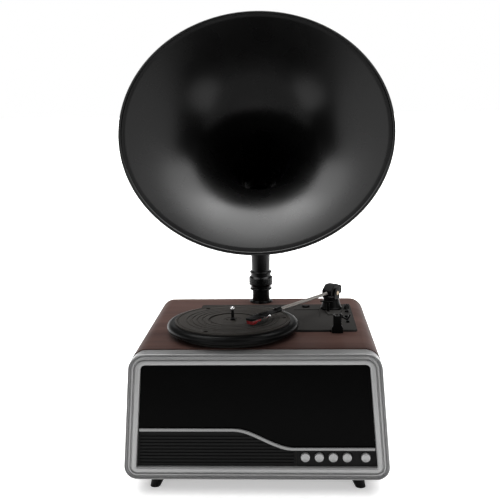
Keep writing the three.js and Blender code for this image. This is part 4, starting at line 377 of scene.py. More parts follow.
@dataclass(frozen=True)
class GroovedRubber(Finish):
    """Pressed rubber with fine rings about one centre, and a grey bloom."""

    pale: str = "#393633"
    centre: Triple = (0.0, 0.0, 0.0)
    # The real rings are too fine to show, so they are drawn coarser
    pitch_mm: float = 3.4
    bloom_mm: float = 30.0
    depth_mm: float = 0.15
    ring_share: float = 0.35
    spread: float = 0.12

    def draw(self, tree: Tree, shader: Node, place: Socket) -> None:
        """Draws the rings as bump and tone, and the bloom as tone."""
        centred = node(tree, "ShaderNodeMapping", {
            "Vector": place, "Location": tuple(-c for c in self.centre)})
        # A wave texture of scale 1 repeats every tenth of pi
        rings = node(tree, "ShaderNodeTexWave", {
            "Vector": centred.outputs["Vector"],
            "Scale": math.pi / 10 * per_metre(self.pitch_mm)},
            wave_type="RINGS", rings_direction="Z", wave_profile="SIN")
        bloom = noise(tree, place, self.bloom_mm, 6.0)
        both = node(tree, "ShaderNodeMix", {
            "Factor": self.ring_share, "A": bloom, "B": rings.outputs["Fac"]})
        self.emboss(tree, shader, rings.outputs["Fac"], self.depth_mm)
        self.sheen(tree, shader, bloom)
        self.tint(tree, shader, both.outputs["Result"], self.colour, self.pale)


@dataclass(frozen=True)
class FibrousBoard(Finish):
    """Pressed fibre or paper: short fibres that lie every way."""

    pale: str = "#9c8466"
    fibre_mm: float = 1.6
    depth_mm: float = 0.08

    def draw(self, tree: Tree, shader: Node, place: Socket) -> None:
        """Draws the fibres as bump and tone."""
        fibre = noise(tree, place, self.fibre_mm, 6.0, distortion=1.5)
        self.emboss(tree, shader, fibre, self.depth_mm)
        self.tint(tree, shader, fibre, self.colour, self.pale)


@dataclass(frozen=True)
class StudioPaper(Finish):
    """White paper roll under the object. It turns to grey card in front of the object."""

    pale: str = "#eeeeee"
    lift: float = 0.45
    near_mm: float = -190.0
    far_mm: float = -900.0

    def draw(self, tree: Tree, shader: Node, place: Socket) -> None:
        """Fades the paper to card, and lifts it to white where it is seen or mirrored."""
        depth = node(tree, "ShaderNodeSeparateXYZ", {"Vector": place}).outputs["Y"]
        share = node(tree, "ShaderNodeMapRange", {
            "Value": depth, "From Min": self.far_mm * MILLIMETRE,
            "From Max": self.near_mm * MILLIMETRE}, interpolation_type="SMOOTHSTEP")
        self.tint(tree, shader, share.outputs["Result"], self.colour, self.pale)
        rays = node(tree, "ShaderNodeLightPath")
        seen = rays.outputs["Is Camera Ray"]
        for other in ("Is Glossy Ray", "Is Transmission Ray"):
            seen = node(tree, "ShaderNodeMath", {0: seen, 1: rays.outputs[other]},
                        operation="MAXIMUM").outputs["Value"]
        lifted = node(tree, "ShaderNodeMath", {0: seen, 1: share.outputs["Result"]},
                      operation="MULTIPLY").outputs["Value"]
        glow = node(tree, "ShaderNodeMath", {0: lifted, 1: self.lift}, operation="MULTIPLY")
        shader.inputs["Emission Color"].default_value = linear("#ffffff")
        tree.links.new(glow.outputs["Value"], shader.inputs["Emission Strength"])


# Sliced walnut glued to board and sprayed with satin varnish. The pores break the sheen up
# into long streaks, and the stain leaves slow brown bands. The pores are drawn coarser than
# they are, because real ones are too fine to show.
WALNUT = Veneer("walnut_veneer", "#4d3a35", dark="#322320", roughness=0.46, specular=0.03)
# Moulded plastic sprayed with silver paint. It shines softly and has no clear mirror image.
# The flake is too fine to show and is left out, so only the slow change of tone is drawn.
SILVER = FlakePaint("silver_flake_paint", "#8c8c8c", roughness=0.3, metallic=0.4,
                    pale="#929292")
# Moulded strip with satin chrome plating: darker than the paint, with a narrow bright line.
TRIM = FlakePaint("satin_chrome", "#686868", roughness=0.24, metallic=1.0, pale="#727272")
# Acrylic sheet, black right through and polished. It is nearly black where no light mirrors.
GLASSY = Lacquer("polished_acrylic", "#020202", roughness=0.2, specular=0.022,
                 pale="#040404")
# Injection-moulded ABS from a spark-eroded tool: an even, dull black with a fine grain.
MATT = MouldedPlastic("black_abs", "#121212", roughness=0.5, specular=0.05, pale="#191919")
# The same plastic from a smoother tool, which gives the arm and switches soft highlights.
SATIN = MouldedPlastic("satin_black_abs", "#050505", roughness=0.34, specular=0.07,
                       pale="#0c0c0c", depth_mm=0.006)
# The same plastic with a coarse texture. It scatters the light and looks charcoal, not black.
DECK = MouldedPlastic("textured_deck_abs", "#292827", roughness=0.6, specular=0.001,
                      pale="#323130", grain_mm=0.8, depth_mm=0.05)
# Ground rubber with talc on it, which greys the black.
BELT_RUBBER = FibrousBoard("belt_rubber", "#161615", roughness=0.6, pale="#20201f",
                           depth_mm=0.02)
# Steel turned on a lathe and left bare: fine marks, and smudges from handling.
STEEL = MachinedMetal("turned_steel", "#a8a6a2", roughness=0.22, metallic=1.0)
# Drawn aluminium tube, anodised satin: a broad warm highlight along its length.
TUBE = FlakePaint("satin_aluminium", "#84807b", roughness=0.36, metallic=0.6,
                  pale="#928e89", depth_mm=0.002)
# Polished steel with bright chrome plating: small, sharp highlights.
CHROME = FlakePaint("polished_chrome", "#e2e2e2", roughness=0.12, metallic=1.0,
                    pale="#f0f0f0")
# Chrome-plated steel drawn as a dark metal that mirrors dimly: the dark colour is a painted
# reflection.
SHANK = MachinedMetal("chrome_shank_painted_dark", "#2b2b2b", roughness=0.25, metallic=1.0,
                      pale="#3a3a3a")
# Cast platter turned smooth and sprayed black: a soft line of light runs round its shoulder.
RIM = Lacquer("platter_rim_lacquer", "#040404", roughness=0.32, specular=0.08,
              pale="#0a0a0a")
# Bar brass, turned: yellow metal with fine marks round it.
BRASS = MachinedMetal("turned_brass", "#a9854a", roughness=0.3, metallic=1.0, pale="#c9a765")
# Polycarbonate tinted red right through, from a polished tool: clean, glossy red.
RED = Lacquer("red_polycarbonate", "#7c161b", roughness=0.25, pale="#8c1f22", peel_mm=3.0)
# Glass-fibre board under green solder resist. The weave shows as faint mottling.
GREEN = FibrousBoard("green_circuit_board", "#1c4630", roughness=0.45, pale="#255a3f",
                     depth_mm=0.02)
# Paper pulp pressed on a mould and dyed black: dull, with short fibres.
CONE = FibrousBoard("pressed_cone_paper", "#242220", roughness=0.85, pale="#302d2a")
# Wood fibre pressed to a board and left raw: dull brown, with fibres that lie every way.
BOARD = FibrousBoard("pressed_fibreboard", "#826c52", roughness=0.85)
# Spun sheet metal, sprayed and baked. The lights mirror in it as wide, soft-edged bands.
HORN_BLACK = Lacquer("horn_lacquer", "#020202", roughness=0.27, specular=0.2,
                     pale="#040404")
# A roll of white studio paper: dull and without marks.
STUDIO_PAPER = StudioPaper("studio_paper", "#a2a2a2", roughness=0.9, specular=0.0)
# Turned brass with a thin, dull nickel plating, for the pivot screws: a pale, soft gleam.
PIVOT = MachinedMetal("pivot_brass", "#8a7a66", roughness=0.35, metallic=0.8,
                      pale="#a3947f")


# Modelling


def moved(solid: Solid, matrix: Matrix) -> Solid:
    """Moves a solid and returns it, with its faces still pointing outwards."""
    bmesh.ops.transform(solid, matrix=matrix, verts=solid.verts)
    bmesh.ops.recalc_face_normals(solid, faces=solid.faces)
    return solid


def shifted(solid: Solid, x: float = 0, y: float = 0, z: float = 0) -> Solid:
    """Moves a solid by millimetres along each axis and returns it."""
    return moved(solid, Matrix.Translation((x, y, z)))


def soften(solid: Solid, width: float, segments: int = 2, limit: float = SHARP) -> Solid:
    """Rounds the solid's sharp edges.

    Args:
        solid: the solid, which is changed.
        width: how far the rounding reaches from each edge.
        segments: faces across the rounding.
        limit: edges that turn by more than this angle are sharp.

    Returns:
        The same solid.
    """
    sharp = [edge for edge in solid.edges
             if len(edge.link_faces) == 2 and edge.calc_face_angle(0.0) > limit]
    bmesh.ops.bevel(solid, geom=sharp, offset=width, offset_type="OFFSET", affect="EDGES",
                    segments=segments, profile=0.5, clamp_overlap=True, material=-1)
    return solid


def turned(profile: Iterable[Pair], steps: Steps, closed: bool = False,
           along: Axis = Axis.Z, edge: float = 0.0) -> Solid:
    """Turns a profile on the lathe.

    Args:
        profile: radius and height of each point.
        steps: faces round the piece.
        closed: whether the profile closes on itself, for a ring.
        along: the axis that the piece is turned about.
        edge: rounding of its sharp edges.

    Returns:
        The turned solid.
    """
    solid = bmesh.new()
    points = [solid.verts.new((radius, 0, height)) for radius, height in profile]
    ends = points[1:] + points[:1] if closed else points[1:]
    lines = [solid.edges.new(pair) for pair in zip(points, ends)]
    bmesh.ops.spin(solid, geom=[*points, *lines], cent=(0, 0, 0), axis=(0, 0, 1),
                   dvec=(0, 0, 0), angle=TURN, steps=steps.value, use_merge=True)
    bmesh.ops.remove_doubles(solid, verts=solid.verts, dist=WELD)
    moved(solid, Matrix(along.value))
    return soften(solid, edge) if edge else solid


def sheet(solid: Solid, corners: Sequence[Pair], radii: Sequence[float], level: float,
          segments: int = 10) -> bmesh.types.BMFace:
    """Lays one flat face with rounded corners into a solid.

    Args:
        solid: the solid that gets the face.
        corners: the corners, in order.
        radii: the radius of each corner, or zero to leave it sharp.
        level: the height of the face.
        segments: faces round each corner.

    Returns:
        The face.
    """
    places = [Vector(corner) for corner in corners]
    points = [solid.verts.new((place.x, place.y, level)) for place in places]
    face = solid.faces.new(points)
    for i, radius in enumerate(radii):
        if not radius:
            continue
        back = places[i - 1] - places[i]
        ahead = places[(i + 1) % len(places)] - places[i]
        reach = radius / math.tan(back.angle(ahead) / 2)
        made = bmesh.ops.bevel(solid, geom=[points[i]], offset=reach, offset_type="OFFSET",
                               affect="VERTICES", segments=segments, profile=0.5,
                               clamp_overlap=False, material=-1)
        face = made["verts"][0].link_faces[0]
    return face


def drawn(corners: Sequence[Pair], low: float, high: float, along: Axis = Axis.Z,
          radii: Sequence[float] | float = 0.0, edge: float = 0.0) -> Solid:
    """Draws an outline and pulls it out along one axis.

    Args:
        corners: the outline's corners, in order.
        low: where the solid starts.
        high: where it ends.
        along: the axis that it is pulled along.
        radii: the radius of all corners, or of each one.
        edge: rounding of its sharp edges.

    Returns:
        The solid.
    """
    solid = bmesh.new()
    each = [radii] * len(corners) if isinstance(radii, (int, float)) else radii
    face = sheet(solid, corners, each, low)
    grown = bmesh.ops.extrude_face_region(solid, geom=[face])
    top = [item for item in grown["geom"] if isinstance(item, bmesh.types.BMVert)]
    bmesh.ops.translate(solid, verts=top, vec=(0, 0, high - low))
    moved(solid, Matrix(along.value))
    return soften(solid, edge) if edge else solid


def oblong(x0: float, y0: float, x1: float, y1: float) -> list[Pair]:
    """Returns the four corners of a rectangle."""
    return [(x0, y0), (x1, y0), (x1, y1), (x0, y1)]


def block(low: Triple, high: Triple, edge: float = 0.0) -> Solid:
    """Makes a rectangular block between two corners, with rounded edges if asked.

    Args:
        low: its lowest corner.
        high: its highest corner.
        edge: rounding of its edges.

    Returns:
        The block.
    """
    solid = bmesh.new()
    size = Vector(high) - Vector(low)
    middle = (Vector(high) + Vector(low)) / 2
    bmesh.ops.create_cube(solid, size=1.0, matrix=Matrix.Translation(middle)
                          @ Matrix.Diagonal((*size, 1.0)))
    return soften(solid, edge) if edge else solid


def rod(radius: float, low: float, high: float, steps: Steps = Steps.SMALL,
        along: Axis = Axis.Z, edge: float = 0.0) -> Solid:
    """Makes a plain round rod along one axis, from one place to another."""
    profile = [(0, low), (radius, low), (radius, high), (0, high)]
    return turned(profile, steps, along=along, edge=edge)


def joined(first: Solid, *others: Solid) -> Solid:
    """Puts solids together as one piece, each with its own closed shell."""
    for other in others:
        carrier = bpy.data.meshes.new("carrier")
        other.to_mesh(carrier)
        other.free()
        first.from_mesh(carrier)
        bpy.data.meshes.remove(carrier)
    return first


def on_bench(solid: Solid) -> bpy.types.Object:
    """Makes a solid a passing object of the scene, for a modifier to work on."""
    carrier = bpy.data.meshes.new("bench")
    solid.to_mesh(carrier)
    solid.free()
    held = bpy.data.objects.new("bench", carrier)
    bpy.context.scene.collection.objects.link(held)
    return held


def combined(base: Solid, tools: Sequence[Solid], how: Cut = Cut.TAKE) -> Solid:
    """Cuts tools out of a solid, adds them to it, or keeps what they share.

    Args:
        base: the solid.
        tools: the solids that work on it, one after another.
        how: what they do to it.

    Returns:
        The new solid. The old ones are used up.
    """
    held = on_bench(base)
    helpers = [on_bench(tool) for tool in tools]
    for helper in helpers:
        step = held.modifiers.new("cut", "BOOLEAN")
        step.operation = how.value
        step.object = helper
        step.solver = "EXACT"
    result = bmesh.new()
    result.from_object(held, bpy.context.evaluated_depsgraph_get())
    for used in (held, *helpers):
        carrier = used.data
        bpy.data.objects.remove(used)
        bpy.data.meshes.remove(carrier)
    bmesh.ops.remove_doubles(result, verts=result.verts, dist=WELD)
    return result


def arc(centre: Pair, radius: float, start: float, end: float, steps: int) -> list[Pair]:
    """Returns points along an arc, both ends included, with angles in radians."""
    angles = [start + (end - start) * i / steps for i in range(steps + 1)]
    return [(centre[0] + radius * math.cos(a), centre[1] + radius * math.sin(a))
            for a in angles]


@dataclass
class Workshop:
    """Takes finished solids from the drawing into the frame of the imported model."""

    frame: dict[str, Any]

    def __post_init__(self) -> None:
        """Finds the drawing's origin in the frame, and each node's material slot."""
        low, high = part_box("cabinet_wrap")
        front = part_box("bezel")[0][1]
        self.origin = Vector(((low[0] + high[0]) / 2, front, 0.0))
        self.layout = Matrix.Translation(self.origin) @ Matrix.Scale(MILLIMETRE, 4)
        self.slots = {part["node"]: part["material_slot"]
                      for part in self.frame["record"]["subparts"]}

    def place(self, x: float, y: float, z: float) -> Vector:
        """Returns a point of the drawing as a place in the frame, in metres."""
        return self.layout @ Vector((x, y, z))

    def deliver(self, name: str, solid: Solid, finish: Finish, body: Body | str,
                *nodes: str) -> bpy.types.Object:
        """Makes a solid a piece of the scene that rides on a body.

        Args:
            name: the piece's name.
            solid: its shape in the drawing, which is used up.
            finish: its finish.
            body: the body that carries it.
            nodes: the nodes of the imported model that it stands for.

        Returns:
            The piece's object.
        """
        moved(solid, self.layout)
        for face in solid.faces:
            face.smooth = True
        for edge in solid.edges:
            edge.smooth = edge.calc_face_angle(0.0) < SHARP
        mesh = bpy.data.meshes.new(name)
        solid.to_mesh(mesh)
        solid.free()
        piece = bpy.data.objects.new(name, mesh)
        bpy.context.scene.collection.objects.link(piece)
        mesh.materials.append(finish.material())
        weighted = piece.modifiers.new("flat faces stay flat", "WEIGHTED_NORMAL")
        weighted.keep_sharp = True
        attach(piece, body.value if isinstance(body, Body) else body)
        if nodes:
            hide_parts(*nodes)
        LOG.info("%s: %d faces", name, len(mesh.polygons))
        return piece

    def dress(self, finish: Finish, *nodes: str) -> None:
        """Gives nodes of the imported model, whose shape is right as it is, a finish."""
        for name in nodes:
            part = self.frame["nodes"][name]
            for place in part.material_slots:
                place.material = finish.material()


# The cabinet


@dataclass
class Cabinet:
    """The veneered wrap with its feet, the silver frame and all that sits in the front."""

    shop: Workshop
    foot_height: float = 25.0
    height: float = 189.3
    top_width: float = 355.6
    taper_degrees: float = 4.5
    depth: float = 331.0
    wall: float = 9.0
    top_radius: float = 24.0
    bottom_radius: float = 19.0
    skirt: float = 22.0
    drop: float = 1.5
    border: float = 17.5
    stride: float = 1.2
    lip_depth: float = 6.5
    lip_thickness: float = 1.6
    lip_overlap: float = 4.6
    spigot: float = 10.0
    panel_thickness: float = 3.0
    wave_high: float = 98.1
    wave_low: float = 69.3
    wave_start: float = -33.0
    wave_end: float = 54.0
    trim_width: float = 4.0
    trim_proud: float = 3.0
    trim_lap: float = 0.7
    divider: float = 57.4
    louvre_base: float = 47.0
    louvre_pitch: float = 5.0
    louvre_slot: float = 2.0
    louvre_rows: int = 9
    louvre_depth: float = 1.8
    louvre_margin: float = 3.2
    control_height: float = 57.0
    button_places: tuple[float, ...] = (70.8, 90.75, 110.7, 130.65)
    knob_place: float = 157.1
    button_radius: float = 6.5
    button_proud: float = 4.6

    def __post_init__(self) -> None:
        """Works out the heights and depths that follow from the sizes."""
        self.top = self.foot_height + self.height
        self.lean = math.radians(self.taper_degrees)
        self.panel_front = self.lip_depth + self.lip_thickness + CLEAR
        self.panel_back = self.panel_front + self.panel_thickness

    def half_width(self, z: float, inset: float = 0.0) -> float:
        """Returns half the cabinet's width at a height, moved inwards by an inset."""
        return (self.top_width / 2 + (self.top - z) * math.tan(self.lean)
                - inset / math.cos(self.lean))

    def corners(self, inset: float, drop: float) -> tuple[list[Pair], list[float]]:
        """Returns the corners of the cabinet's outline and their radii, at an inset."""
        low = self.foot_height + inset
        high = self.top - drop - inset
        wide, narrow = self.half_width(low, inset), self.half_width(high, inset)
        places = [(-wide, low), (wide, low), (narrow, high), (-narrow, high)]
        bottom = max(self.bottom_radius - inset, 1.0)
        top = max(self.top_radius - inset, 1.0)
        return places, [bottom, bottom, top, top]

    def framed(self, chains: Sequence[Sequence[Pair]], drop: float) -> Solid:
        """Steps the cabinet's outline inwards and along, once for each chain of places.

        Args:
            chains: inset and depth of each step. All chains start at one place on the
                outline itself and end at one place.
            drop: how far the outline's top lies under the cabinet's.

        Returns:
            The closed frame.
        """
        solid = bmesh.new()
        for chain in chains:
            places, radii = self.corners(0.0, drop)
            face = sheet(solid, places, radii, chain[0][1])
            for near, far in zip(chain, chain[1:]):
                strides = max(math.ceil((far[0] - near[0]) / self.stride), 1)
                step = max((far[0] - near[0]) / strides, LEAST_STEP)
                fall = (far[1] - near[1]) / strides
                for _ in range(strides):
                    bmesh.ops.inset_region(solid, faces=[face], use_boundary=True,
                                           use_even_offset=True, thickness=step)
                    bmesh.ops.translate(solid, verts=face.verts, vec=(0, 0, fall))
            bmesh.ops.delete(solid, geom=[face], context="FACES_ONLY")
        bmesh.ops.remove_doubles(solid, verts=solid.verts, dist=SEAM)
        return moved(solid, Matrix(Axis.Y.value))

    def wave(self, x: float) -> float:
        """Returns the height of the wave that parts the two front panels."""
        share = min(max((x - self.wave_start) / (self.wave_end - self.wave_start), 0), 1)
        return self.wave_high + (self.wave_low - self.wave_high) * share ** 2 * (3 - 2 * share)

    def wave_line(self, left: float, right: float, offset: float) -> list[Pair]:
        """Returns the wave from left to right, moved square to itself by an offset."""
        count = 48
        span = self.wave_end - self.wave_start
        places = [left, *(self.wave_start + span * i / count for i in range(count + 1)), right]
        line = []
        for x in places:
            rise = self.wave(x + 0.5) - self.wave(x - 0.5)
            slope = math.atan2(rise, 1.0)
            line.append((x - offset * math.sin(slope), self.wave(x) + offset * math.cos(slope)))
        return line

    def build(self) -> None:
        """Builds every piece of the cabinet."""
        self.wrap()
        self.feet()
        self.silver_frame()
        self.trim()
        self.grille()
        self.controls()
        self.shop.dress(GLASSY, "front_panel")
        self.shop.dress(MATT, "control_panel", "back_panel", "power_inlet", "audio_jacks")
        self.shop.dress(BOARD, "baffle_board")
        self.shop.dress(GREEN, "control_board", "main_board")
        self.shop.dress(CONE, "speaker_left", "speaker_right")
        self.shop.dress(STEEL, "transformer")

    def wrap(self) -> None:
        """Builds the wrap, with the openings for the turntable and the horn."""
        front = self.skirt + CLEAR
        edge = 1.2
        outside = [(0.0, front), (0.0, self.depth - edge), (edge / 4, self.depth - edge / 4),
                   (edge, self.depth), (self.wall, self.depth)]
        inside = [(0.0, front), (self.wall, front), (self.wall, self.depth)]
        shell = self.framed([outside, inside], 0.0)
        low = self.top - self.wall - OVERRUN
        high = self.top + OVERRUN
        lobe = shifted(rod(Deck.lobe_radius - Deck.seat, low, high, Steps.FINE),
                       Platter.x, Platter.y)
        deck = drawn(oblong(Deck.left + Deck.seat, Deck.front + Deck.seat,
                            Deck.right - Deck.seat, Deck.back - Deck.seat), low, high)
        stem = shifted(rod(Horn.stem_radius + CLEAR, low, high, Steps.MEDIUM), 0, Horn.stem_y)
        self.shop.deliver("veneered_wrap", combined(shell, [lobe, deck, stem]), WALNUT,
                          Body.CABINET, "cabinet_wrap")

    def feet(self) -> None:
        """Builds the four splayed feet, each turned upright and then leaned outwards."""
        foot_inset_x, foot_inset_y, splay_x, splay_y = 48.5, 38.0, 8.0, 5.0
        top_radius, bottom_radius, collar, edge = 11.4, 7.8, 3.0, 1.0
        shoulder = self.foot_height - collar
        for name, side_x, side_y in (
                ("front_left", -1, -1), ("front_right", 1, -1),
                ("back_left", -1, 1), ("back_right", 1, 1)):
            foot = turned([
                (0, 0), (bottom_radius - edge, 0), (bottom_radius - edge / 4, edge / 4),
                (bottom_radius, edge), (top_radius - 0.2, shoulder - 1.0),
                (top_radius, shoulder), (top_radius, self.foot_height - CLEAR),
                (0, self.foot_height - CLEAR)], Steps.MEDIUM)
            x = side_x * (self.half_width(self.foot_height) - foot_inset_x)
            y = self.depth / 2 + side_y * (self.depth / 2 - foot_inset_y)
            lean = Matrix.Identity(4)
            lean[0][2], lean[1][2] = -side_x * splay_x / shoulder, -side_y * splay_y / shoulder
            lean[0][3], lean[1][3] = x + side_x * splay_x, y + side_y * splay_y
            bottom = [v for v in foot.verts if v.co.z <= shoulder]
            collar_ring = [v for v in foot.verts if v.co.z > shoulder]
            bmesh.ops.transform(foot, matrix=lean, verts=bottom)
            bmesh.ops.translate(foot, verts=collar_ring, vec=(x, y, 0))
            self.shop.deliver(f"foot_{name}_turned", foot, SATIN, Body.CABINET,
                              f"foot_{name}")

    def silver_frame(self) -> None:
        """Builds the silver frame: a cove inside its edge, a bead, a groove and a lip."""
        edge = 0.9
        channel = [(1.2, 0.5), (1.5, 3.8), (2.0, 4.3), (2.8, 4.3), (3.4, 3.7)]
        cove = [(4.0, 2.9), (4.9, 2.1), (5.9, 1.4)]
        bead = [(6.6, 1.0), (7.2, 0.95), (7.6, 1.4)]
        groove = [(7.9, 3.6), (8.4, 4.1), (9.1, 4.1), (9.6, 3.4)]
        band = [(10.2, 2.2), (11.2, 1.9), (14.4, 2.0), (16.0, 2.4), (16.9, 3.2), (17.3, 4.6)]
        lip_back = self.lip_depth + self.lip_thickness
        rebate = self.border - self.lip_overlap
        inner = self.wall + CLEAR
        face = [
            (0.0, self.skirt),
            *arc((edge, edge), edge, TURN / 2, 3 * QUARTER, 6),
            *channel, *cove, *bead, *groove, *band,
            (self.border, self.lip_depth), (self.border, lip_back),
        ]
        behind = [(0.0, self.skirt), (inner, self.skirt), (inner, self.skirt + self.spigot),
                  (rebate, self.skirt + self.spigot), (rebate, lip_back),
                  (self.border, lip_back)]
        self.shop.deliver("silver_frame", self.framed([face, behind], self.drop), SILVER,
                          Body.CABINET, "bezel")

    def trim(self) -> None:
        """Builds the wavy strip: a rounded cap on a bar that sits between the panels."""
        bar, cap, rounding = self.trim_width / 2, self.trim_width / 2 + self.trim_lap, 1.2
        inset = self.border + CLEAR
        left = -self.half_width(self.wave_high, inset) + cap * math.tan(self.lean)
        right = self.half_width(self.wave_low, inset) - cap * math.tan(self.lean)
        face, seat = self.panel_front - self.trim_proud, self.panel_front - CLEAR
        strip, stem = (
            drawn([*self.wave_line(left, right, half),
                   *reversed(self.wave_line(left, right, -half))], near, far, Axis.Y)
            for half, near, far in ((cap, face, seat), (bar, seat - CLEAR, self.panel_back)))
        soften(strip, rounding, 4, math.radians(50))
        self.shop.deliver("wave_strip", joined(strip, stem), TRIM, Body.CABINET, "trim_strip")

    def grille(self) -> None:
        """Builds the louvred panel: rows of slots whose floors slope in and upwards."""
        front, back = self.panel_front, self.panel_back
        inset = self.border - self.lip_overlap + CLEAR
        places, radii = self.corners(inset, self.drop)
        blank = drawn(places, front, back, Axis.Y, radii)
        wide = self.top_width
        below = [*self.wave_line(-wide, wide, -self.trim_width / 2 - CLEAR),
                 (wide, 0.0), (-wide, 0.0)]
        under = drawn(below, front - OVERRUN, back + OVERRUN, Axis.Y)
        beside = block((-wide, front - OVERRUN, 0.0),
                       (self.divider - CLEAR / 2, back + OVERRUN, self.top))
        panel = combined(blank, [under, beside], Cut.KEEP)
        slots = []
        for row in range(self.louvre_rows):
            z = self.louvre_base + row * self.louvre_pitch
            left = -self.half_width(z, self.border + self.louvre_margin)
            depth = front + self.louvre_depth
            lip = 0.5
            slots.append(drawn([
                (front - OVERRUN, z), (front, z), (depth, z + lip),
                (depth, z + self.louvre_slot - lip / 2), (front, z + self.louvre_slot + lip),
                (front - OVERRUN, z + self.louvre_slot + lip)],
                left, self.louvre_end(z), Axis.X))
        self.shop.deliver("louvred_grille", combined(panel, slots), MATT, Body.CABINET,
                          "grille_panel")

    def louvre_end(self, z: float) -> float:
        """Returns how far right a louvre can run before the wave or the divider."""
        end = self.divider - self.louvre_margin
        room = z + self.louvre_slot + self.trim_width / 2 + self.louvre_margin / 2
        while self.wave(end) < room and end > self.wave_start:
            end -= 0.5
        return end

    def button_face(self) -> list[Pair]:
        """Returns the profile of a button's dished face, from its middle to its rim."""
        face = self.panel_front - self.button_proud
        radius = self.button_radius
        return [(0, face + 0.8), (radius * 0.45, face + 0.7), (radius - 1.7, face + 0.3),
                (radius - 1.0, face + 0.05), (radius - 0.6, face), (radius - 0.2, face + 0.15),
                (radius, face + 0.6)]

    def controls(self) -> None:
        """Builds the four push buttons and the volume knob."""
        flange = self.panel_back + CLEAR
        stem = flange + 1.5
        flange_radius, pin_radius, pin_end, shaft_radius = 8.2, 2.5, stem + 7.5, 3.0
        for number, x in enumerate(self.button_places, start=1):
            button = turned([
                *self.button_face(), (self.button_radius, flange), (flange_radius, flange),
                (flange_radius, stem), (pin_radius, stem), (pin_radius, pin_end), (0, pin_end)],
                Steps.SMALL, along=Axis.Y)
            self.shop.deliver(f"push_button_{number}_cap",
                              shifted(button, x, 0, self.control_height), SILVER,
                              f"button_{number}_body", f"push_button_{number}")
        low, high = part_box("volume_knob")
        shaft_end = (high[1] - self.shop.origin.y) / MILLIMETRE
        face = self.panel_front - self.button_proud
        knob = turned([
            *self.button_face(), (self.button_radius, flange), (shaft_radius, flange),
            (shaft_radius, shaft_end), (0, shaft_end)], Steps.SMALL, along=Axis.Y)
        half, depth = 0.6, 1.7
        notch = block((-half, face - OVERRUN, self.button_radius / 2),
                      (half, face + depth, self.button_radius + OVERRUN))
        self.shop.deliver("volume_knob_cap",
                          shifted(combined(knob, [notch]), self.knob_place, 0,
                                  self.control_height),
                          SILVER, Body.KNOB, "volume_knob")


# The turntable


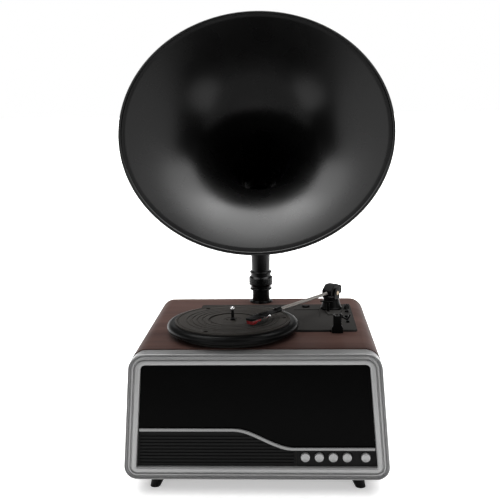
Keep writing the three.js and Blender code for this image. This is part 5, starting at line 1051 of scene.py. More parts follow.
@dataclass
class Deck:
    """The base plate with its pad and step, and the drive that hides under the platter."""

    shop: Workshop
    left: float = -100.0
    right: float = 153.0
    front: float = 108.0
    back: float = 271.0
    radius: float = 6.0
    lobe_radius: float = 84.0
    seat: float = 8.0
    thickness: float = 3.4
    chamfer: float = 1.4
    step_depth: float = 0.8
    step_width: float = 42.0
    step_left: float = 57.0
    step_front: float = 174.5
    step_back: float = 234.0
    pad_width: float = 28.0
    pad_front_width: float = 19.0
    pad_depth: float = 27.0
    pad_height: float = 1.6
    bottom: float = 214.6
    screw_place: Pair = (77.5, 251.5)
    switch_x: float = 141.0
    speed_y: float = 184.0
    speed_travel: float = 6.0
    stop_y: float = 152.0
    stop_travel: float = 2.5

    def build(self) -> None:
        """Builds the plate, the transit screw and the slide switches, and dresses the drive."""
        self.plate()
        self.transit_screw()
        self.switch("speed_switch", self.speed_y, Body.SPEED)
        self.switch("auto_stop_switch", self.stop_y, Body.STOP)
        self.shop.dress(STEEL, "motor")
        self.shop.dress(BRASS, "spindle_bush", "motor_pulley")
        self.shop.dress(BELT_RUBBER, "drive_belt")

    @property
    def top(self) -> float:
        """Height of the plate's top."""
        return self.bottom + self.thickness

    def plate(self) -> None:
        """Builds the plate: a disc under the platter joined to a rounded rectangle."""
        low, top = self.bottom, self.top
        lobe = shifted(turned([
            (0, low), (self.lobe_radius, low), (self.lobe_radius, top - self.chamfer),
            (self.lobe_radius - self.chamfer, top), (0, top)], Steps.FINE),
            Platter.x, Platter.y)
        deck = drawn(oblong(self.left, self.front, self.right, self.back), low, top,
                     radii=self.radius)
        rim = [e for e in deck.edges if all(v.co.z > top - WELD for v in e.verts)]
        bmesh.ops.bevel(deck, geom=rim, offset=self.chamfer, offset_type="OFFSET",
                        affect="EDGES", segments=2, profile=0.5, material=-1)
        pad_back = TonearmBase.y - TonearmBase.foot_radius - CLEAR
        half, narrow = self.pad_width / 2, self.pad_front_width / 2
        pad = drawn([
            (ArmRest.x - half, pad_back), (ArmRest.x - narrow, pad_back - self.pad_depth),
            (ArmRest.x + narrow, pad_back - self.pad_depth), (ArmRest.x + half, pad_back)],
            low + self.thickness / 2, top + self.pad_height, edge=0.5)
        plate = combined(lobe, [deck, pad], Cut.ADD)
        hollow = drawn(oblong(self.step_left, self.step_front,
                              self.step_left + self.step_width, self.step_back),
                       top - self.step_depth, top + OVERRUN, radii=1.5)
        holes = [hollow]
        # For the spindle's bush, the motor's pulley, the cue lift's post and the screw
        for x, y, radius in ((Platter.x, Platter.y, 7.3), (3.2, 177.78, 4.3),
                             (TonearmBase.x - 5.93, 216.23, 2.5), (*self.screw_place, 2.3)):
            holes.append(shifted(rod(radius, low - OVERRUN, top + OVERRUN), x, y))
        left, right = self.switch_x - 1.5, self.switch_x + 1.5
        for y, travel in ((self.speed_y, self.speed_travel), (self.stop_y, self.stop_travel)):
            reach = 2.3 + travel
            holes.append(drawn(oblong(left, y - reach, right, y + reach),
                               low - OVERRUN, top + OVERRUN))
        self.shop.deliver("deck_plate", combined(plate, holes), DECK, Body.CABINET,
                          "base_plate")

    def transit_screw(self) -> None:
        """Builds the slotted screw that locks the drive for carrying."""
        low = self.top + CLEAR
        radius, head, shank, end = 6.5, 3.2, 2, low - 10
        screw = turned([
            (0, end), (shank, end), (shank, low), (radius, low), (radius, low + head - 1.2),
            (radius - 0.4, low + head - 0.5), (radius - 1.2, low + head), (0, low + head)],
            Steps.SMALL)
        half, floor = 0.7, low + head - 1.2
        slot = block((-radius - OVERRUN, -half, floor),
                     (radius + OVERRUN, half, low + head + OVERRUN))
        self.shop.deliver("transit_screw_slotted",
                          shifted(combined(screw, [slot]), *self.screw_place),
                          SATIN, Body.CABINET, "transit_screw")

    def switch(self, name: str, y: float, body: Body) -> None:
        """Builds a slide switch's cap with its ribs, on a stem through the plate."""
        low = self.top + CLEAR
        half, reach, height, groove = 2.5, 4, 3.0, 0.3
        cap = drawn(oblong(-half, -reach, half, reach), low, low + height, radii=0.8,
                    edge=0.35)
        ribs = [block((-half - OVERRUN, place - groove, low + 2.6),
                      (half + OVERRUN, place + groove, low + height + OVERRUN))
                for place in (-2.0, 0.0, 2.0)]
        stem = block((-1.2, -2, self.bottom - 1.0), (1.2, 2, low + 1.5))
        self.shop.deliver(f"{name}_cap",
                          shifted(joined(combined(cap, ribs), stem), self.switch_x, y),
                          SATIN, body, name)


@dataclass
class Platter:
    """The platter, its rubber mat and the spindle."""

    shop: Workshop
    x: float = -36.8
    y: float = 108.5
    radius: float = 100.0
    bottom: float = 222.9
    height: float = 11.0
    recess: float = 1.3
    mat_radius: float = 88.0
    groove_radii: tuple[float, ...] = (83.6, 70.0, 62.0, 54.0, 46.0)
    shoulder_radius: float = 7.0
    belt_radius: float = 64.5
    spindle_radius: float = 3.5
    mat_thickness: float = 2.6
    label_radius: float = 37.0
    hole_radius: float = 3.8
    hole_circle: float = 78.0
    hole_first_degrees: float = 4.0

    def __post_init__(self) -> None:
        """Works out the heights that follow from the sizes."""
        self.top = self.bottom + self.height
        self.deck = self.top - self.recess
        self.mat_low = self.deck + CLEAR
        self.mat_top = self.mat_low + self.mat_thickness

    def build(self) -> None:
        """Builds the three pieces that turn together."""
        self.disc()
        self.mat()
        self.spindle()

    def holes(self, low: float, high: float) -> list[Solid]:
        """Returns rods for the three holes, where the photograph shows them."""
        first = math.radians(self.hole_first_degrees)
        angles = [first + TURN * i / 3 for i in range(3)]
        return [shifted(rod(self.hole_radius, low, high, Steps.TINY),
                        self.hole_circle * math.cos(a), self.hole_circle * math.sin(a))
                for a in angles]

    def disc(self) -> None:
        """Builds the cast platter with its rim, its hub and the ring for the belt."""
        bore = self.spindle_radius + CLEAR
        under = self.deck - 2.7
        outer, low, top = self.radius, self.bottom, self.top
        middle, shoulder = low + self.height / 2, self.shoulder_radius
        profile = [
            (bore, low + CLEAR), (12, low + CLEAR), (12, under), (self.belt_radius - 3, under),
            (self.belt_radius - 3, low), (self.belt_radius, low), (self.belt_radius, under),
            (outer - 4.5, under), (outer - 4.5, low), (outer - 1.4, low), (outer - 0.8, low + 0.6),
            (outer - 0.8, middle - 3.1), (outer - 0.6, middle - 2.6), (outer - 0.1, middle - 2.1),
            (outer, middle - 1.6),
            *arc((outer - shoulder, top - shoulder), shoulder, 0.0, QUARTER, 10),
            (self.mat_radius + CLEAR, top), (self.mat_radius + CLEAR, self.deck),
            (bore, self.deck)]
        disc = combined(turned(profile, Steps.FINE, closed=True),
                        self.holes(under - OVERRUN, top + OVERRUN))
        self.shop.deliver("cast_platter", shifted(disc, self.x, self.y), RIM, Body.PLATTER,
                          "platter")

    def mat(self) -> None:
        """Builds the mat with its raised edge and the sunk place for a record's label."""
        bore = self.spindle_radius + CLEAR
        outer, top, label = self.mat_radius, self.mat_top, self.label_radius
        floor, ring, hub, well = top - 2.1, 3.0, 13.0, 5.0
        half, narrow, bed = 1.0, 0.7, top - 0.9
        grooves = [
            point for radius in self.groove_radii
            for point in ((radius + half, top), (radius + narrow, bed),
                          (radius - narrow, bed), (radius - half, top))]
        profile = [
            (bore, self.mat_low), (outer, self.mat_low), (outer, top - 0.3), (outer - 0.3, top),
            (outer - 0.7, top + 0.4), (outer - 1.2, top + 0.5), (outer - 1.7, top + 0.4),
            (outer - 2.4, top), *grooves, (label + 1.0, top), (label + 0.4, top + 0.2),
            (label, top), (label - 0.2, floor), (label - ring, floor),
            (label - ring - 0.4, top - 0.6), (hub + 0.6, top - 0.6), (hub, top - 1.2),
            (well, top - 1.2), (well - 0.3, floor), (bore, floor)]
        dimple, circle = 1.7, 9.0
        dimples = [
            shifted(rod(dimple, floor, top, Steps.TINY),
                    circle * math.cos(angle), circle * math.sin(angle))
            for angle in (TURN / 6, TURN / 2, 5 * TURN / 6)]
        mat = combined(turned(profile, Steps.FINE, closed=True),
                       [*self.holes(self.mat_low - OVERRUN, top + OVERRUN), *dimples])
        centre = self.shop.place(self.x, self.y, 0)
        # Black rubber pressed in a turned mould. It greys a little as it ages, and its rings
        # break the light up.
        rubber = GroovedRubber("pressed_mat_rubber", "#2c2a28", roughness=0.55, specular=0.06,
                               centre=(centre.x, centre.y, 0.0))
        self.shop.deliver("rubber_mat", shifted(mat, self.x, self.y), rubber, Body.PLATTER,
                          "platter_mat")

    def spindle(self) -> None:
        """Builds the spindle with its rounded tip."""
        low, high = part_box("spindle")
        bottom, top = low[2] / MILLIMETRE, high[2] / MILLIMETRE
        radius, waist, ball = self.spindle_radius, 2.2, 3.2
        shoulder = self.mat_top + 1.0
        neck = top - 2 * ball + 0.6
        pin = turned([(0, bottom), (radius, bottom), (radius, shoulder), (waist, shoulder + 1.5),
                      (waist, neck), (0, neck)], Steps.SMALL)
        cap = turned(arc((0.0, top - ball), ball, -QUARTER, QUARTER, 16), Steps.SMALL)
        # The shank's dark colour is a painted reflection; only the ball is drawn as bright chrome.
        self.shop.deliver("spindle_pin", shifted(pin, self.x, self.y), SHANK, Body.PLATTER,
                          "spindle")
        self.shop.deliver("spindle_ball", shifted(cap, self.x, self.y), CHROME, Body.PLATTER)


# The tonearm


@dataclass
class TonearmBase:
    """The arm's fixed base and the yoke that turns on it."""

    shop: Workshop
    x: float = 119.4
    y: float = 240.0
    axis: float = 246.3
    turn_degrees: float = 36.0
    foot_radius: float = 18.0
    cheek: float = 2.8

    def build(self) -> None:
        """Builds the base and the yoke."""
        low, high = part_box("arm_base")
        bottom, top = low[2] / MILLIMETRE, high[2] / MILLIMETRE
        bore, floor = 4.3, top - 9.3
        base = turned([
            (0, bottom), (self.foot_radius, bottom), (self.foot_radius, bottom + 2.6),
            (16.5, bottom + 3.9), (13.5, top - 2.6), (12.2, top), (bore, top),
            (bore, floor), (0, floor)], Steps.MEDIUM, edge=0.5)
        self.shop.deliver("arm_base_turned", shifted(base, self.x, self.y), SATIN,
                          Body.CABINET, "arm_base")
        self.yoke(top)

    def swung(self, solid: Solid) -> Solid:
        """Moves a solid drawn along the arm, with the arm's axis at zero, into place."""
        place = Matrix.Translation((self.x, self.y, self.axis))
        return moved(solid, place @ Matrix.Rotation(-math.radians(self.turn_degrees), 4, "Z"))

    def yoke(self, base_top: float) -> None:
        """Builds the yoke: a disc with a pin below and a cheek on either side."""
        low = base_top + CLEAR - self.axis
        disc_top = low + 2.4
        inner, cheek, half = 9.2 + CLEAR, self.cheek, 7.5
        outline = [(-half, low), (half, low), (half, 0), (half / 2, 7), (-half / 2, 7), (-half, 0)]
        cheeks = [drawn(outline, left, left + cheek, Axis.X, edge=0.5)
                  for left in (-inner - cheek, inner)]
        disc = rod(12, low, disc_top, Steps.MEDIUM, edge=0.4)
        pin = rod(4, low + CLEAR - 9, disc_top - 0.5)
        bridge = block((-inner - cheek / 2, -half, low + 0.1),
                       (inner + cheek / 2, half, disc_top - 0.1), 0.3)
        self.shop.deliver("arm_yoke_cheeks", self.swung(joined(disc, pin, bridge, *cheeks)),
                          SATIN, Body.TURRET, "arm_yoke")


@dataclass
class Tonearm:
    """The beam that lifts in the yoke: head, weight, tube, shell, cartridge and lift."""

    shop: Workshop
    base: TonearmBase
    head_width: float = 18.4
    tube_radius: float = 2.7
    tube_start: float = -6.3
    tube_length: float = 146.0
    shell_tip: float = -221.0
    shell_width: float = 15.5
    shell_under: float = -1.8
    cartridge_height: float = 3.2

    def build(self) -> None:
        """Builds every piece of the beam."""
        self.head()
        self.weight()
        self.tube()
        self.shell()
        self.cartridge()
        self.finger_lift()

    def deliver(self, name: str, solid: Solid, finish: Finish, *nodes: str) -> None:
        """Swings a solid into the arm's place and delivers it as a piece of the beam."""
        self.shop.deliver(name, self.base.swung(solid), finish, Body.BEAM, *nodes)

    def head(self) -> None:
        """Builds the block with its sloping nose, and the pivot screws in its sides."""
        half = self.head_width / 2
        side = [(-14, -2.5), (-14, 4.5), (-4, 13.5), (8, 13.5), (13, 8.5), (13, -2.5),
                (10.5, -5), (-11.5, -5)]
        body = drawn(side, -half, half, Axis.X)
        soften(body, 1.2, 3)
        socket = rod(self.tube_radius + CLEAR, -16, -6, along=Axis.Y)
        body = combined(body, [socket])
        groove = block((-half + 2.4, -2.6, 12.9), (half - 2.4, -1.8, 15))
        body = combined(body, [groove])
        outer = half + CLEAR + self.base.cheek + CLEAR
        screws = []
        for side_of in (-1, 1):
            screw = turned([(0, half - 1.2), (2, half - 1.2), (2, outer), (3.4, outer),
                            (3.4, outer + 0.7), (3.1, outer + 1), (0, outer + 1)],
                           Steps.SMALL, along=Axis.X)
            screws.append(moved(screw, Matrix.Rotation(0 if side_of > 0 else math.pi, 4, "Z")))
        self.deliver("arm_head_block", body, SATIN, "arm_head")
        self.deliver("arm_pivot_screws", joined(*screws), PIVOT)

    def weight(self) -> None:
        """Builds the counterweight behind the head."""
        weight = drawn(oblong(-7.5, -5, 7.5, 9.5), 13.3, 21.3, Axis.Y, radii=3.0)
        soften(weight, 1.2, 3)
        self.deliver("counterweight_block", weight, SATIN, "counterweight")

    def tube(self) -> None:
        """Builds the drawn tube, with a rolled mark near each end."""
        start, end = self.tube_start, self.tube_start - self.tube_length
        radius, mark = self.tube_radius, 0.12
        profile = [(0, start), (radius, start)]
        for near in (start - 10, end + 14):
            profile += [(radius, near), (radius - mark, near - 0.4), (radius - mark, near - 1),
                        (radius, near - 1.4)]
        profile += [(radius, end), (0, end)]
        self.deliver("arm_tube_drawn", turned(profile, Steps.SMALL, along=Axis.Y), TUBE,
                     "arm_tube")

    def shell(self) -> None:
        """Builds the headshell: a sleeve over the tube that widens to a flat nose."""
        end = self.tube_start - self.tube_length - CLEAR
        flare = end - 2.5
        start = -143.0
        neck, wide, tip = 3.5, self.shell_width / 2, self.shell_tip
        outline = [(-neck, start - 5), (-neck, flare), (-wide, flare - 26), (-wide, tip),
                   (wide, tip), (wide, flare - 26), (neck, flare), (neck, start - 5)]
        body = drawn(outline, self.shell_under, 1.6, radii=[0, 6, 6, 5, 5, 6, 6, 0])
        soften(body, 0.7, 3)
        sleeve = rod(4.2, flare, start, along=Axis.Y, edge=0.5)
        bore = rod(self.tube_radius + CLEAR, end, start + OVERRUN, along=Axis.Y)
        slot = drawn(oblong(-1.1, tip + 26, 1.1, tip + 44), 1.0, 4.0, radii=1.09)
        shell = combined(body, [sleeve], Cut.ADD)
        self.deliver("headshell_moulding", combined(shell, [bore, slot]), SATIN, "headshell")

    def cartridge(self) -> None:
        """Builds the red cartridge and the stylus holder with its needle."""
        front = self.shell_tip + 2.0
        top = self.shell_under - CLEAR
        body = drawn(oblong(-6.5, front, 6.5, front + 21), top - self.cartridge_height, top,
                     radii=2.0, edge=0.5)
        self.deliver("cartridge_moulding", body, RED, "cartridge")
        high = top - self.cartridge_height - CLEAR
        low = high - 2.6
        wedge = drawn([
            (front, high), (front, low + 1.3), (front + 2, low), (front + 8, low),
            (front + 16, high - 0.65), (front + 16, high)], -4.75, 4.75, Axis.X, edge=0.3)
        needle = shifted(turned([(0, low - 0.8), (0.25, low - 0.6), (0.8, low + 0.1),
                                 (0.8, low + 1), (0, low + 1)], Steps.TINY), 0, front + 4, 0)
        self.deliver("stylus_holder", joined(wedge, needle), RED, "stylus")

    def finger_lift(self) -> None:
        """Builds the bent strip that a finger lifts the arm by."""
        near, reach, thick, curl, top = self.shell_width / 2 + CLEAR, 14.0, 1.2, 4.0, 1.6
        side = [(near, top - thick), (near + reach - curl, top - thick),
                (near + reach, top + curl - thick), (near + reach - thick, top + curl),
                (near + reach - curl - thick / 2, top), (near, top)]
        front, bulb = self.shell_tip + 26, 1.9
        strip = drawn(side, front - 4, front, Axis.Y, radii=[0, 3, 0.4, 0.4, 3, 0], edge=0.25)
        end = turned(arc((0.0, 0.0), bulb, -QUARTER, QUARTER, 10), Steps.TINY)
        shifted(end, near + reach - thick / 2, front - 2, top + curl - thick)
        self.deliver("finger_lift_strip", joined(strip, end), CHROME, "finger_lift")


@dataclass
class ArmRest:
    """The post that the arm parks on, its swinging clip and the cue lift with its lever."""

    shop: Workshop
    x: float = 122.0
    y: float = 100.0
    depth: float = 7.7
    pin_radius: float = 1.6
    clip_thickness: float = 2.5
    clip_degrees: float = 118.0

    def build(self) -> None:
        """Builds the rest, the clip, the lift and the lever, and gives the lever's bracket its
        finish.
        """
        self.post()
        self.clip()
        self.cue_lift()
        self.cue_lever()

    @property
    def tube_under(self) -> float:
        """Height of the underside of the arm's tube."""
        return TonearmBase.axis - Tonearm.tube_radius

    @property
    def pivot(self) -> Pair:
        """Place of the clip's pin, seen from the front."""
        return (self.x + 5.0, self.tube_under - 4.6)

    def post(self) -> None:
        """Builds the post with its trough, and the pin for the clip."""
        foot, half, low = 8.3, 6.2, Deck.bottom
        shoulder = low + 12
        trough, under = self.tube_under - 3, self.tube_under
        outline = [(-foot, low), (foot, low), (foot, shoulder - 4), (half, shoulder),
                   (half, under + 1.2), (3.6, under + 1.2), (3.6, trough), (-3.6, trough),
                   (-3.6, under - 0.5), (-half, under - 0.5), (-half, shoulder),
                   (-foot, shoulder - 4)]
        radii = [0, 0, 1.5, 1.5, 0.9, 0.9, 1.4, 1.4, 0.9, 0.9, 1.5, 1.5]
        post = drawn(outline, self.y, self.y + self.depth, Axis.Y, radii=radii)
        soften(post, 0.4, 2, math.radians(50))
        shifted(post, self.x)
        pin = rod(self.pin_radius, self.y + self.depth / 2,
                  self.y + self.depth + CLEAR + self.clip_thickness, along=Axis.Y, edge=0.2)
        shifted(pin, self.pivot[0], 0, self.pivot[1])
        self.shop.deliver("arm_rest_post", joined(post, pin), SATIN, Body.CABINET, "arm_rest")

    def clip(self) -> None:
        """Builds the hooked clip, swung open to the right as in the photograph."""
        pointing, thick = QUARTER - math.radians(self.clip_degrees), self.clip_thickness
        outline = [(0, -1.2), (13, -1.2), (13, 9.5), (10.6, 9.5), (10.6, 1.2), (0, 1.2)]
        hook = drawn(outline, 0, thick, Axis.Y, radii=[0, 2.2, 0.9, 0.9, 1.2, 0])
        eye = rod(3.4, 0, thick, along=Axis.Y)
        hole = rod(self.pin_radius + CLEAR, -OVERRUN, thick + OVERRUN, along=Axis.Y)
        clip = combined(combined(hook, [eye], Cut.ADD), [hole])
        moved(clip, Matrix.Rotation(-pointing, 4, "Y"))
        shifted(clip, self.pivot[0], self.y + self.depth + CLEAR, self.pivot[1])
        self.shop.deliver("arm_clip_hook", clip, SATIN, Body.CLIP, "arm_clip")

    def cue_lift(self) -> None:
        """Builds the curved bar that lifts the arm, on its post."""
        low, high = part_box("cue_lift")
        bottom, top = low[2] / MILLIMETRE, high[2] / MILLIMETRE
        start, end = -QUARTER + math.radians(-47), -QUARTER + math.radians(4)
        middle, half, thick = 24.5, 1.75, 2.2
        outline = [*arc((0, 0), middle - half, start, end, 16),
                   *arc((0, 0), middle + half, end, start, 16)]
        bar = drawn(outline, top - thick, top, edge=0.4)
        angle = math.radians(-14)
        post = shifted(rod(2.2, bottom, top - thick / 2, Steps.TINY),
                       middle * math.sin(angle), -middle * math.cos(angle))
        lift = shifted(joined(bar, post), TonearmBase.x, TonearmBase.y)
        self.shop.deliver("cue_lift_bar", lift, SATIN, Body.LIFT, "cue_lift")

    def cue_lever(self) -> None:
        """Builds the lever with its finger tab, and gives the bracket that holds it its finish."""
        deck_top = Deck.bottom + Deck.thickness
        x, y, pivot = 145.0, 238.0, deck_top + CLEAR + 1.4 + 3.6
        half, length, thick = 1.5, 30, 1.2
        fall = Matrix.Rotation(math.radians(5), 4, "X")
        hub = rod(3, -half, half, along=Axis.X, edge=0.3)
        pin = rod(1.5, -3.7, 3.7, Steps.TINY, Axis.X)
        handle, tab = (
            moved(drawn(oblong(left, -length, half, end), -thick, thick, edge=0.35), fall)
            for left, end in ((-half, 0), (-4.9, -27)))
        lever = shifted(joined(hub, pin, handle, tab), x, y, pivot)
        self.shop.deliver("cue_lever_handle", lever, SATIN, Body.LEVER, "cue_lever")
        self.shop.dress(SATIN, "cue_bracket")


# The horn


@dataclass
class Horn:
    """The socket and collar on the cabinet, and the neck and bell that turn in them."""

    shop: Workshop
    stem_y: float = 309.0
    stem_radius: float = 15.2
    socket_wall: float = 2.8
    neck_start_radius: float = 15.7
    neck_end_radius: float = 19.7
    neck_wall: float = 2.5
    neck_tenon: float = 12.0
    elbow_radius: float = 70.0
    mouth_y: float = 70.0
    mouth_z: float = 527.4
    tilt_degrees: float = 31.2
    turn_degrees: float = 1.2
    bell_radius: float = 196.4
    bead: float = 2.4
    wall: float = 2.0
    flare_power: float = 1.6

    def __post_init__(self) -> None:
        """Works out the bend and the lengths along the horn's axis."""
        self.tilt = math.radians(self.tilt_degrees)
        self.bend = QUARTER - self.tilt
        tangent = self.elbow_radius * math.tan(self.bend / 2)
        reach = self.stem_y - self.mouth_y
        self.bell_length = reach / math.cos(self.tilt) - tangent
        self.bend_start = self.mouth_z - reach * math.tan(self.tilt) - tangent

    def build(self) -> None:
        """Builds the socket, the collar, the neck and the bell."""
        self.socket()
        self.collar()
        self.neck()
        self.bell()

    def swivelled(self, solid: Solid) -> Solid:
        """Moves a solid drawn with the stem at the origin to its place and turn."""
        place = Matrix.Translation((0, self.stem_y, 0))
        return moved(solid, place @ Matrix.Rotation(math.radians(self.turn_degrees), 4, "Z"))

    def socket(self) -> None:
        """Builds the socket through the cabinet's top, with its flange and its nut."""
        low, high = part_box("horn_socket")
        bottom, top = low[2] / MILLIMETRE, high[2] / MILLIMETRE
        bore, radius = self.stem_radius - self.socket_wall, self.stem_radius
        flange, underside, nut, wide = Deck.bottom, 205.0, 16.6, 20
        socket = turned([
            (bore, bottom), (radius, bottom), (radius, underside - 3), (nut, underside - 3),
            (nut, underside), (radius, underside), (radius, flange), (wide, flange),
            (wide, flange + 0.8), (wide - 0.4, flange + 1.4), (wide - 2, flange + 2),
            (radius + 0.6, flange + 2), (radius, flange + 2.8), (radius, top), (bore, top)],
            Steps.MEDIUM, closed=True)
        self.shop.deliver("horn_socket_turned", shifted(socket, 0, self.stem_y), HORN_BLACK,
                          Body.CABINET, "horn_socket")

    def collar(self) -> None:
        """Builds the collar: a ring, a ribbed swelling and a second ring."""
        low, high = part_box("horn_collar")
        bottom, top = low[2] / MILLIMETRE, high[2] / MILLIMETRE
        bore, ring, waist, bulge = self.stem_radius + CLEAR, 19.1, 17.6, 20.7
        swell_low, swell = bottom + 6.4, 18
        swell_high = swell_low + swell
        profile = [
            (bore, bottom), (ring - 0.6, bottom), (ring, bottom + 0.6), (ring, bottom + 2),
            (ring - 0.5, bottom + 2.7), (waist, bottom + 3.2), (waist, swell_low),
            (bulge - 1.2, swell_low + 1.6), (bulge - 0.3, swell_low + 2.6)]
        ribs = 4
        pitch = (swell - 6.2) / ribs
        for rib in range(ribs):
            z = swell_low + 3.1 + rib * pitch
            profile += [(bulge, z), (bulge, z + pitch - 0.9), (bulge - 0.45, z + pitch - 0.5)]
        profile += [
            (bulge - 0.3, swell_high - 2.6), (bulge - 1.2, swell_high - 1.6),
            (waist, swell_high), (waist, top - 3.2), (ring - 0.5, top - 2.7),
            (ring, top - 2), (ring, top - 0.9), (ring - 0.8, top), (bore, top)]
        self.shop.deliver("horn_collar_turned",
                          shifted(turned(profile, Steps.MEDIUM, closed=True), 0, self.stem_y),
                          HORN_BLACK, Body.CABINET, "horn_collar")

    def neck_sections(self) -> list[tuple[Matrix, float]]:
        """Returns the place and the outer radius of each section of the neck."""
        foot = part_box("horn_neck")[0][2] / MILLIMETRE
        collar_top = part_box("horn_collar")[1][2] / MILLIMETRE + CLEAR
        length = (self.bend_start - collar_top + self.elbow_radius * self.bend
                  + self.neck_tenon)
        grow = (self.neck_end_radius - self.neck_start_radius) / length
        sections = [(Matrix.Translation((0, 0, foot)), self.stem_radius),
                    (Matrix.Translation((0, 0, collar_top)), self.stem_radius),
                    (Matrix.Translation((0, 0, collar_top + CLEAR)), self.neck_start_radius)]
        straight, curved = 6, 28
        for i in range(1, straight):
            z = collar_top + (self.bend_start - collar_top) * i / straight
            sections.append((Matrix.Translation((0, 0, z)),
                             self.neck_start_radius + grow * (z - collar_top)))
        centre = Matrix.Translation((0, -self.elbow_radius, self.bend_start))
        for i in range(curved + 1):
            angle = self.bend * i / curved
            turn = Matrix.Rotation(angle, 4, "X") @ Matrix.Translation((0, self.elbow_radius, 0))
            travelled = self.bend_start - collar_top + self.elbow_radius * angle
            sections.append((centre @ turn, self.neck_start_radius + grow * travelled))
        end = sections[-1][0] @ Matrix.Translation((0, 0, self.neck_tenon))
        sections.append((end, self.neck_end_radius))
        return sections

    def neck(self) -> None:
        """Builds the hollow neck, one ring pulled on from the last, up and back down."""
        outer = self.neck_sections()
        inner = [(place, radius - self.neck_wall) for place, radius in reversed(outer)]
        solid = bmesh.new()
        here = outer[0][0] @ Matrix.Scale(outer[0][1], 4)
        made = bmesh.ops.create_circle(solid, cap_ends=False, segments=Steps.MEDIUM.value,
                                       radius=1.0, matrix=here)
        ring = list({edge for vertex in made["verts"] for edge in vertex.link_edges})
        first = ring
        for place, radius in [*outer[1:], *inner]:
            there = place @ Matrix.Scale(radius, 4)
            pulled = bmesh.ops.extrude_edge_only(solid, edges=ring)["geom"]
            points = [item for item in pulled if isinstance(item, bmesh.types.BMVert)]
            bmesh.ops.transform(solid, matrix=there @ here.inverted(), verts=points)
            fresh = set(points)
            ring = [item for item in pulled if isinstance(item, bmesh.types.BMEdge)
                    and all(vertex in fresh for vertex in item.verts)]
            here = there
        bmesh.ops.bridge_loops(solid, edges=[*first, *ring])
        self.shop.deliver("horn_neck_bent", self.swivelled(solid), HORN_BLACK, Body.HORN,
                          "horn_neck")

    def bell_outline(self, behind: float) -> float:
        """Returns the outer radius of the bell at a distance behind its mouth."""
        mouth = self.bell_radius - self.bead
        throat = self.neck_end_radius + CLEAR + self.wall
        start = self.bell_length / ((mouth / throat) ** (1 / self.flare_power) - 1)
        return mouth * (start / (start + behind)) ** self.flare_power

    def bell(self) -> None:
        """Builds the flared bell with its rolled bead and the ring at its throat."""
        count, nudge = 72, self.wall / 2
        outer: list[Pair] = []
        inner: list[Pair] = []
        for i in range(1, count + 1):
            behind = self.bell_length * (i / count) ** 2
            radius = self.bell_outline(behind)
            slope = (self.bell_outline(behind - nudge) - self.bell_outline(behind + nudge)) / (
                2 * nudge)
            size = math.hypot(1, slope)
            if behind * size < 2 * self.bead:
                continue
            outer.append((radius, -behind))
            inner.append((radius - self.wall / size, -behind + self.wall * slope / size))
        lip = math.atan2(self.bell_outline(0) - self.bell_outline(nudge), nudge)
        wall_angle = TURN / 2 + QUARTER - lip
        spread = math.asin(self.wall / 2 / self.bead) + self.wall / self.bell_radius
        bead = arc((self.bell_radius - self.bead, 0), self.bead, wall_angle + spread,
                   wall_angle + TURN - spread, 16)
        ring_out = outer[-1][0] + 1.8
        throat = inner.pop()
        ring_end = -self.bell_length + 6
        kept = [point for point in outer if point[1] > ring_end + 2]
        profile = [
            (throat[0], -self.bell_length), (ring_out - 0.5, -self.bell_length),
            (ring_out, -self.bell_length + 0.5), (ring_out, ring_end - 0.5),
            (ring_out - 0.5, ring_end), (self.bell_outline(-(ring_end + 1.8)), ring_end + 1.8),
            *reversed(kept), *bead, *inner]
        bell = turned(profile, Steps.BELL, closed=True)
        moved(bell, Matrix.Rotation(QUARTER - self.tilt, 4, "X"))
        shifted(bell, 0, self.mouth_y - self.stem_y, self.mouth_z)
        self.shop.deliver("horn_bell_spun", self.swivelled(bell), HORN_BLACK, Body.HORN,
                          "horn_bell")


# The studio


@dataclass(frozen=True)
class Softbox:
    """One round soft light in the sky."""

    azimuth: float
    elevation: float
    radius: float
    strength: float
    feather: float = 7.0

    @property
    def way(self) -> Vector:
        """The way to the light: azimuth 0 is in front of the object, 90 to its right."""
        round_, up = math.radians(self.azimuth), math.radians(self.elevation)
        return Vector((math.sin(round_) * math.cos(up), -math.cos(round_) * math.cos(up),
                       math.sin(up)))

    def glow(self, tree: Tree, way: Socket) -> Socket:
        """Returns how bright the light is seen along each way."""
        near = node(tree, "ShaderNodeVectorMath", {0: way, 1: self.way},
                    operation="DOT_PRODUCT")
        spot = node(tree, "ShaderNodeMapRange", {
            "Value": near.outputs["Value"],
            "From Min": math.cos(math.radians(self.radius + self.feather)),
            "From Max": math.cos(math.radians(self.radius)),
            "To Min": 0.0, "To Max": self.strength}, interpolation_type="SMOOTHSTEP")
        return spot.outputs["Result"]


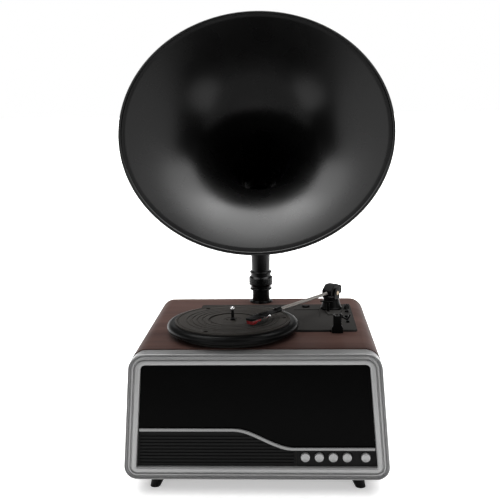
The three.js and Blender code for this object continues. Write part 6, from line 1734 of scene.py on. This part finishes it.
@dataclass
class Studio:
    """The camera at the photograph's place, a sky of soft lights and a pale floor."""

    shop: Workshop
    camera_place: Triple = (49.98, -1116.53, 558.01)
    yaw_degrees: float = -2.74
    pitch_degrees: float = 9.99
    roll_degrees: float = -0.98
    lens_mm: float = 59.67
    sensor_mm: float = 36.0
    far_clip: float = 60.0
    floor_size: float = 40.0
    backdrop: float = 1.0
    front_wall: float = 0.3
    wall_fade: Pair = (-0.95, 0.5)
    wall_top_degrees: Pair = (8.5, 14.0)
    dome: float = 0.05
    softboxes: tuple[Softbox, ...] = (
        Softbox(180, 76, 14, 8.8), Softbox(-115, 64, 12, 5.8), Softbox(115, 64, 12, 5.5),
        Softbox(-48, 54, 18, 2.0), Softbox(48, 54, 18, 1.7),
        Softbox(-47, 9, 11, 2.2), Softbox(47, 9, 11, 2.2))

    def build(self) -> None:
        """Sets up the camera, the floor and the sky."""
        self.camera()
        self.floor()
        self.sky()

    def camera(self) -> None:
        """Puts the camera where the photograph was taken from."""
        data = bpy.data.cameras.new("camera")
        data.sensor_width = self.sensor_mm
        data.sensor_fit = "HORIZONTAL"
        data.lens = self.lens_mm
        data.clip_end = self.far_clip
        camera = bpy.data.objects.new("camera", data)
        turn = (Matrix.Rotation(-math.radians(self.yaw_degrees), 4, "Z")
                @ Matrix.Rotation(QUARTER - math.radians(self.pitch_degrees), 4, "X")
                @ Matrix.Rotation(math.radians(self.roll_degrees), 4, "Z"))
        camera.matrix_world = Matrix.Translation(self.shop.place(*self.camera_place)) @ turn
        bpy.context.scene.collection.objects.link(camera)
        bpy.context.scene.camera = camera

    def floor(self) -> None:
        """Lays the pale floor, which is not part of the object."""
        solid = bmesh.new()
        bmesh.ops.create_grid(solid, x_segments=1, y_segments=1, size=self.floor_size)
        mesh = bpy.data.meshes.new("studio_floor")
        solid.to_mesh(mesh)
        solid.free()
        floor = bpy.data.objects.new("studio_floor", mesh)
        bpy.context.scene.collection.objects.link(floor)
        mesh.materials.append(STUDIO_PAPER.material())

    def sky(self) -> None:
        """Makes the sky: a white backdrop, a grey front, a dim dome and the soft lights."""
        world = bpy.data.worlds.new("studio_sky")
        bpy.context.scene.world = world
        world.use_nodes = True
        tree = world.node_tree
        tree.nodes.clear()
        way = node(tree, "ShaderNodeTexCoord").outputs["Generated"]
        parts = node(tree, "ShaderNodeSeparateXYZ", {"Vector": way})
        front, back = self.wall_fade
        wall = node(tree, "ShaderNodeMapRange", {
            "Value": parts.outputs["Y"], "From Min": front, "From Max": back,
            "To Min": self.front_wall, "To Max": self.backdrop},
            interpolation_type="SMOOTHSTEP").outputs["Result"]
        low, high = (math.sin(math.radians(angle)) for angle in self.wall_top_degrees)
        level = node(tree, "ShaderNodeMapRange", {
            "Value": parts.outputs["Z"], "From Min": low, "From Max": high,
            "To Min": wall, "To Max": self.dome},
            interpolation_type="SMOOTHSTEP").outputs["Result"]
        for softbox in self.softboxes:
            level = node(tree, "ShaderNodeMath", {0: level, 1: softbox.glow(tree, way)},
                         operation="ADD").outputs["Value"]
        light = node(tree, "ShaderNodeBackground", {"Strength": level})
        light.inputs["Color"].default_value = (1.0, 1.0, 1.0, 1.0)
        node(tree, "ShaderNodeOutputWorld", {"Surface": light.outputs["Background"]})


def main() -> None:
    """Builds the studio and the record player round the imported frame."""
    logging.basicConfig(level=logging.INFO, format="%(message)s")
    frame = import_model()
    bpy.context.scene.view_settings.view_transform = "Standard"
    shop = Workshop(frame)
    Studio(shop).build()
    base = TonearmBase(shop)
    for assembly in (Cabinet(shop), Deck(shop), Platter(shop), base, Tonearm(shop, base),
                     ArmRest(shop), Horn(shop)):
        assembly.build()
        LOG.info("%s is done", type(assembly).__name__)


if __name__ == "__main__":
    main()
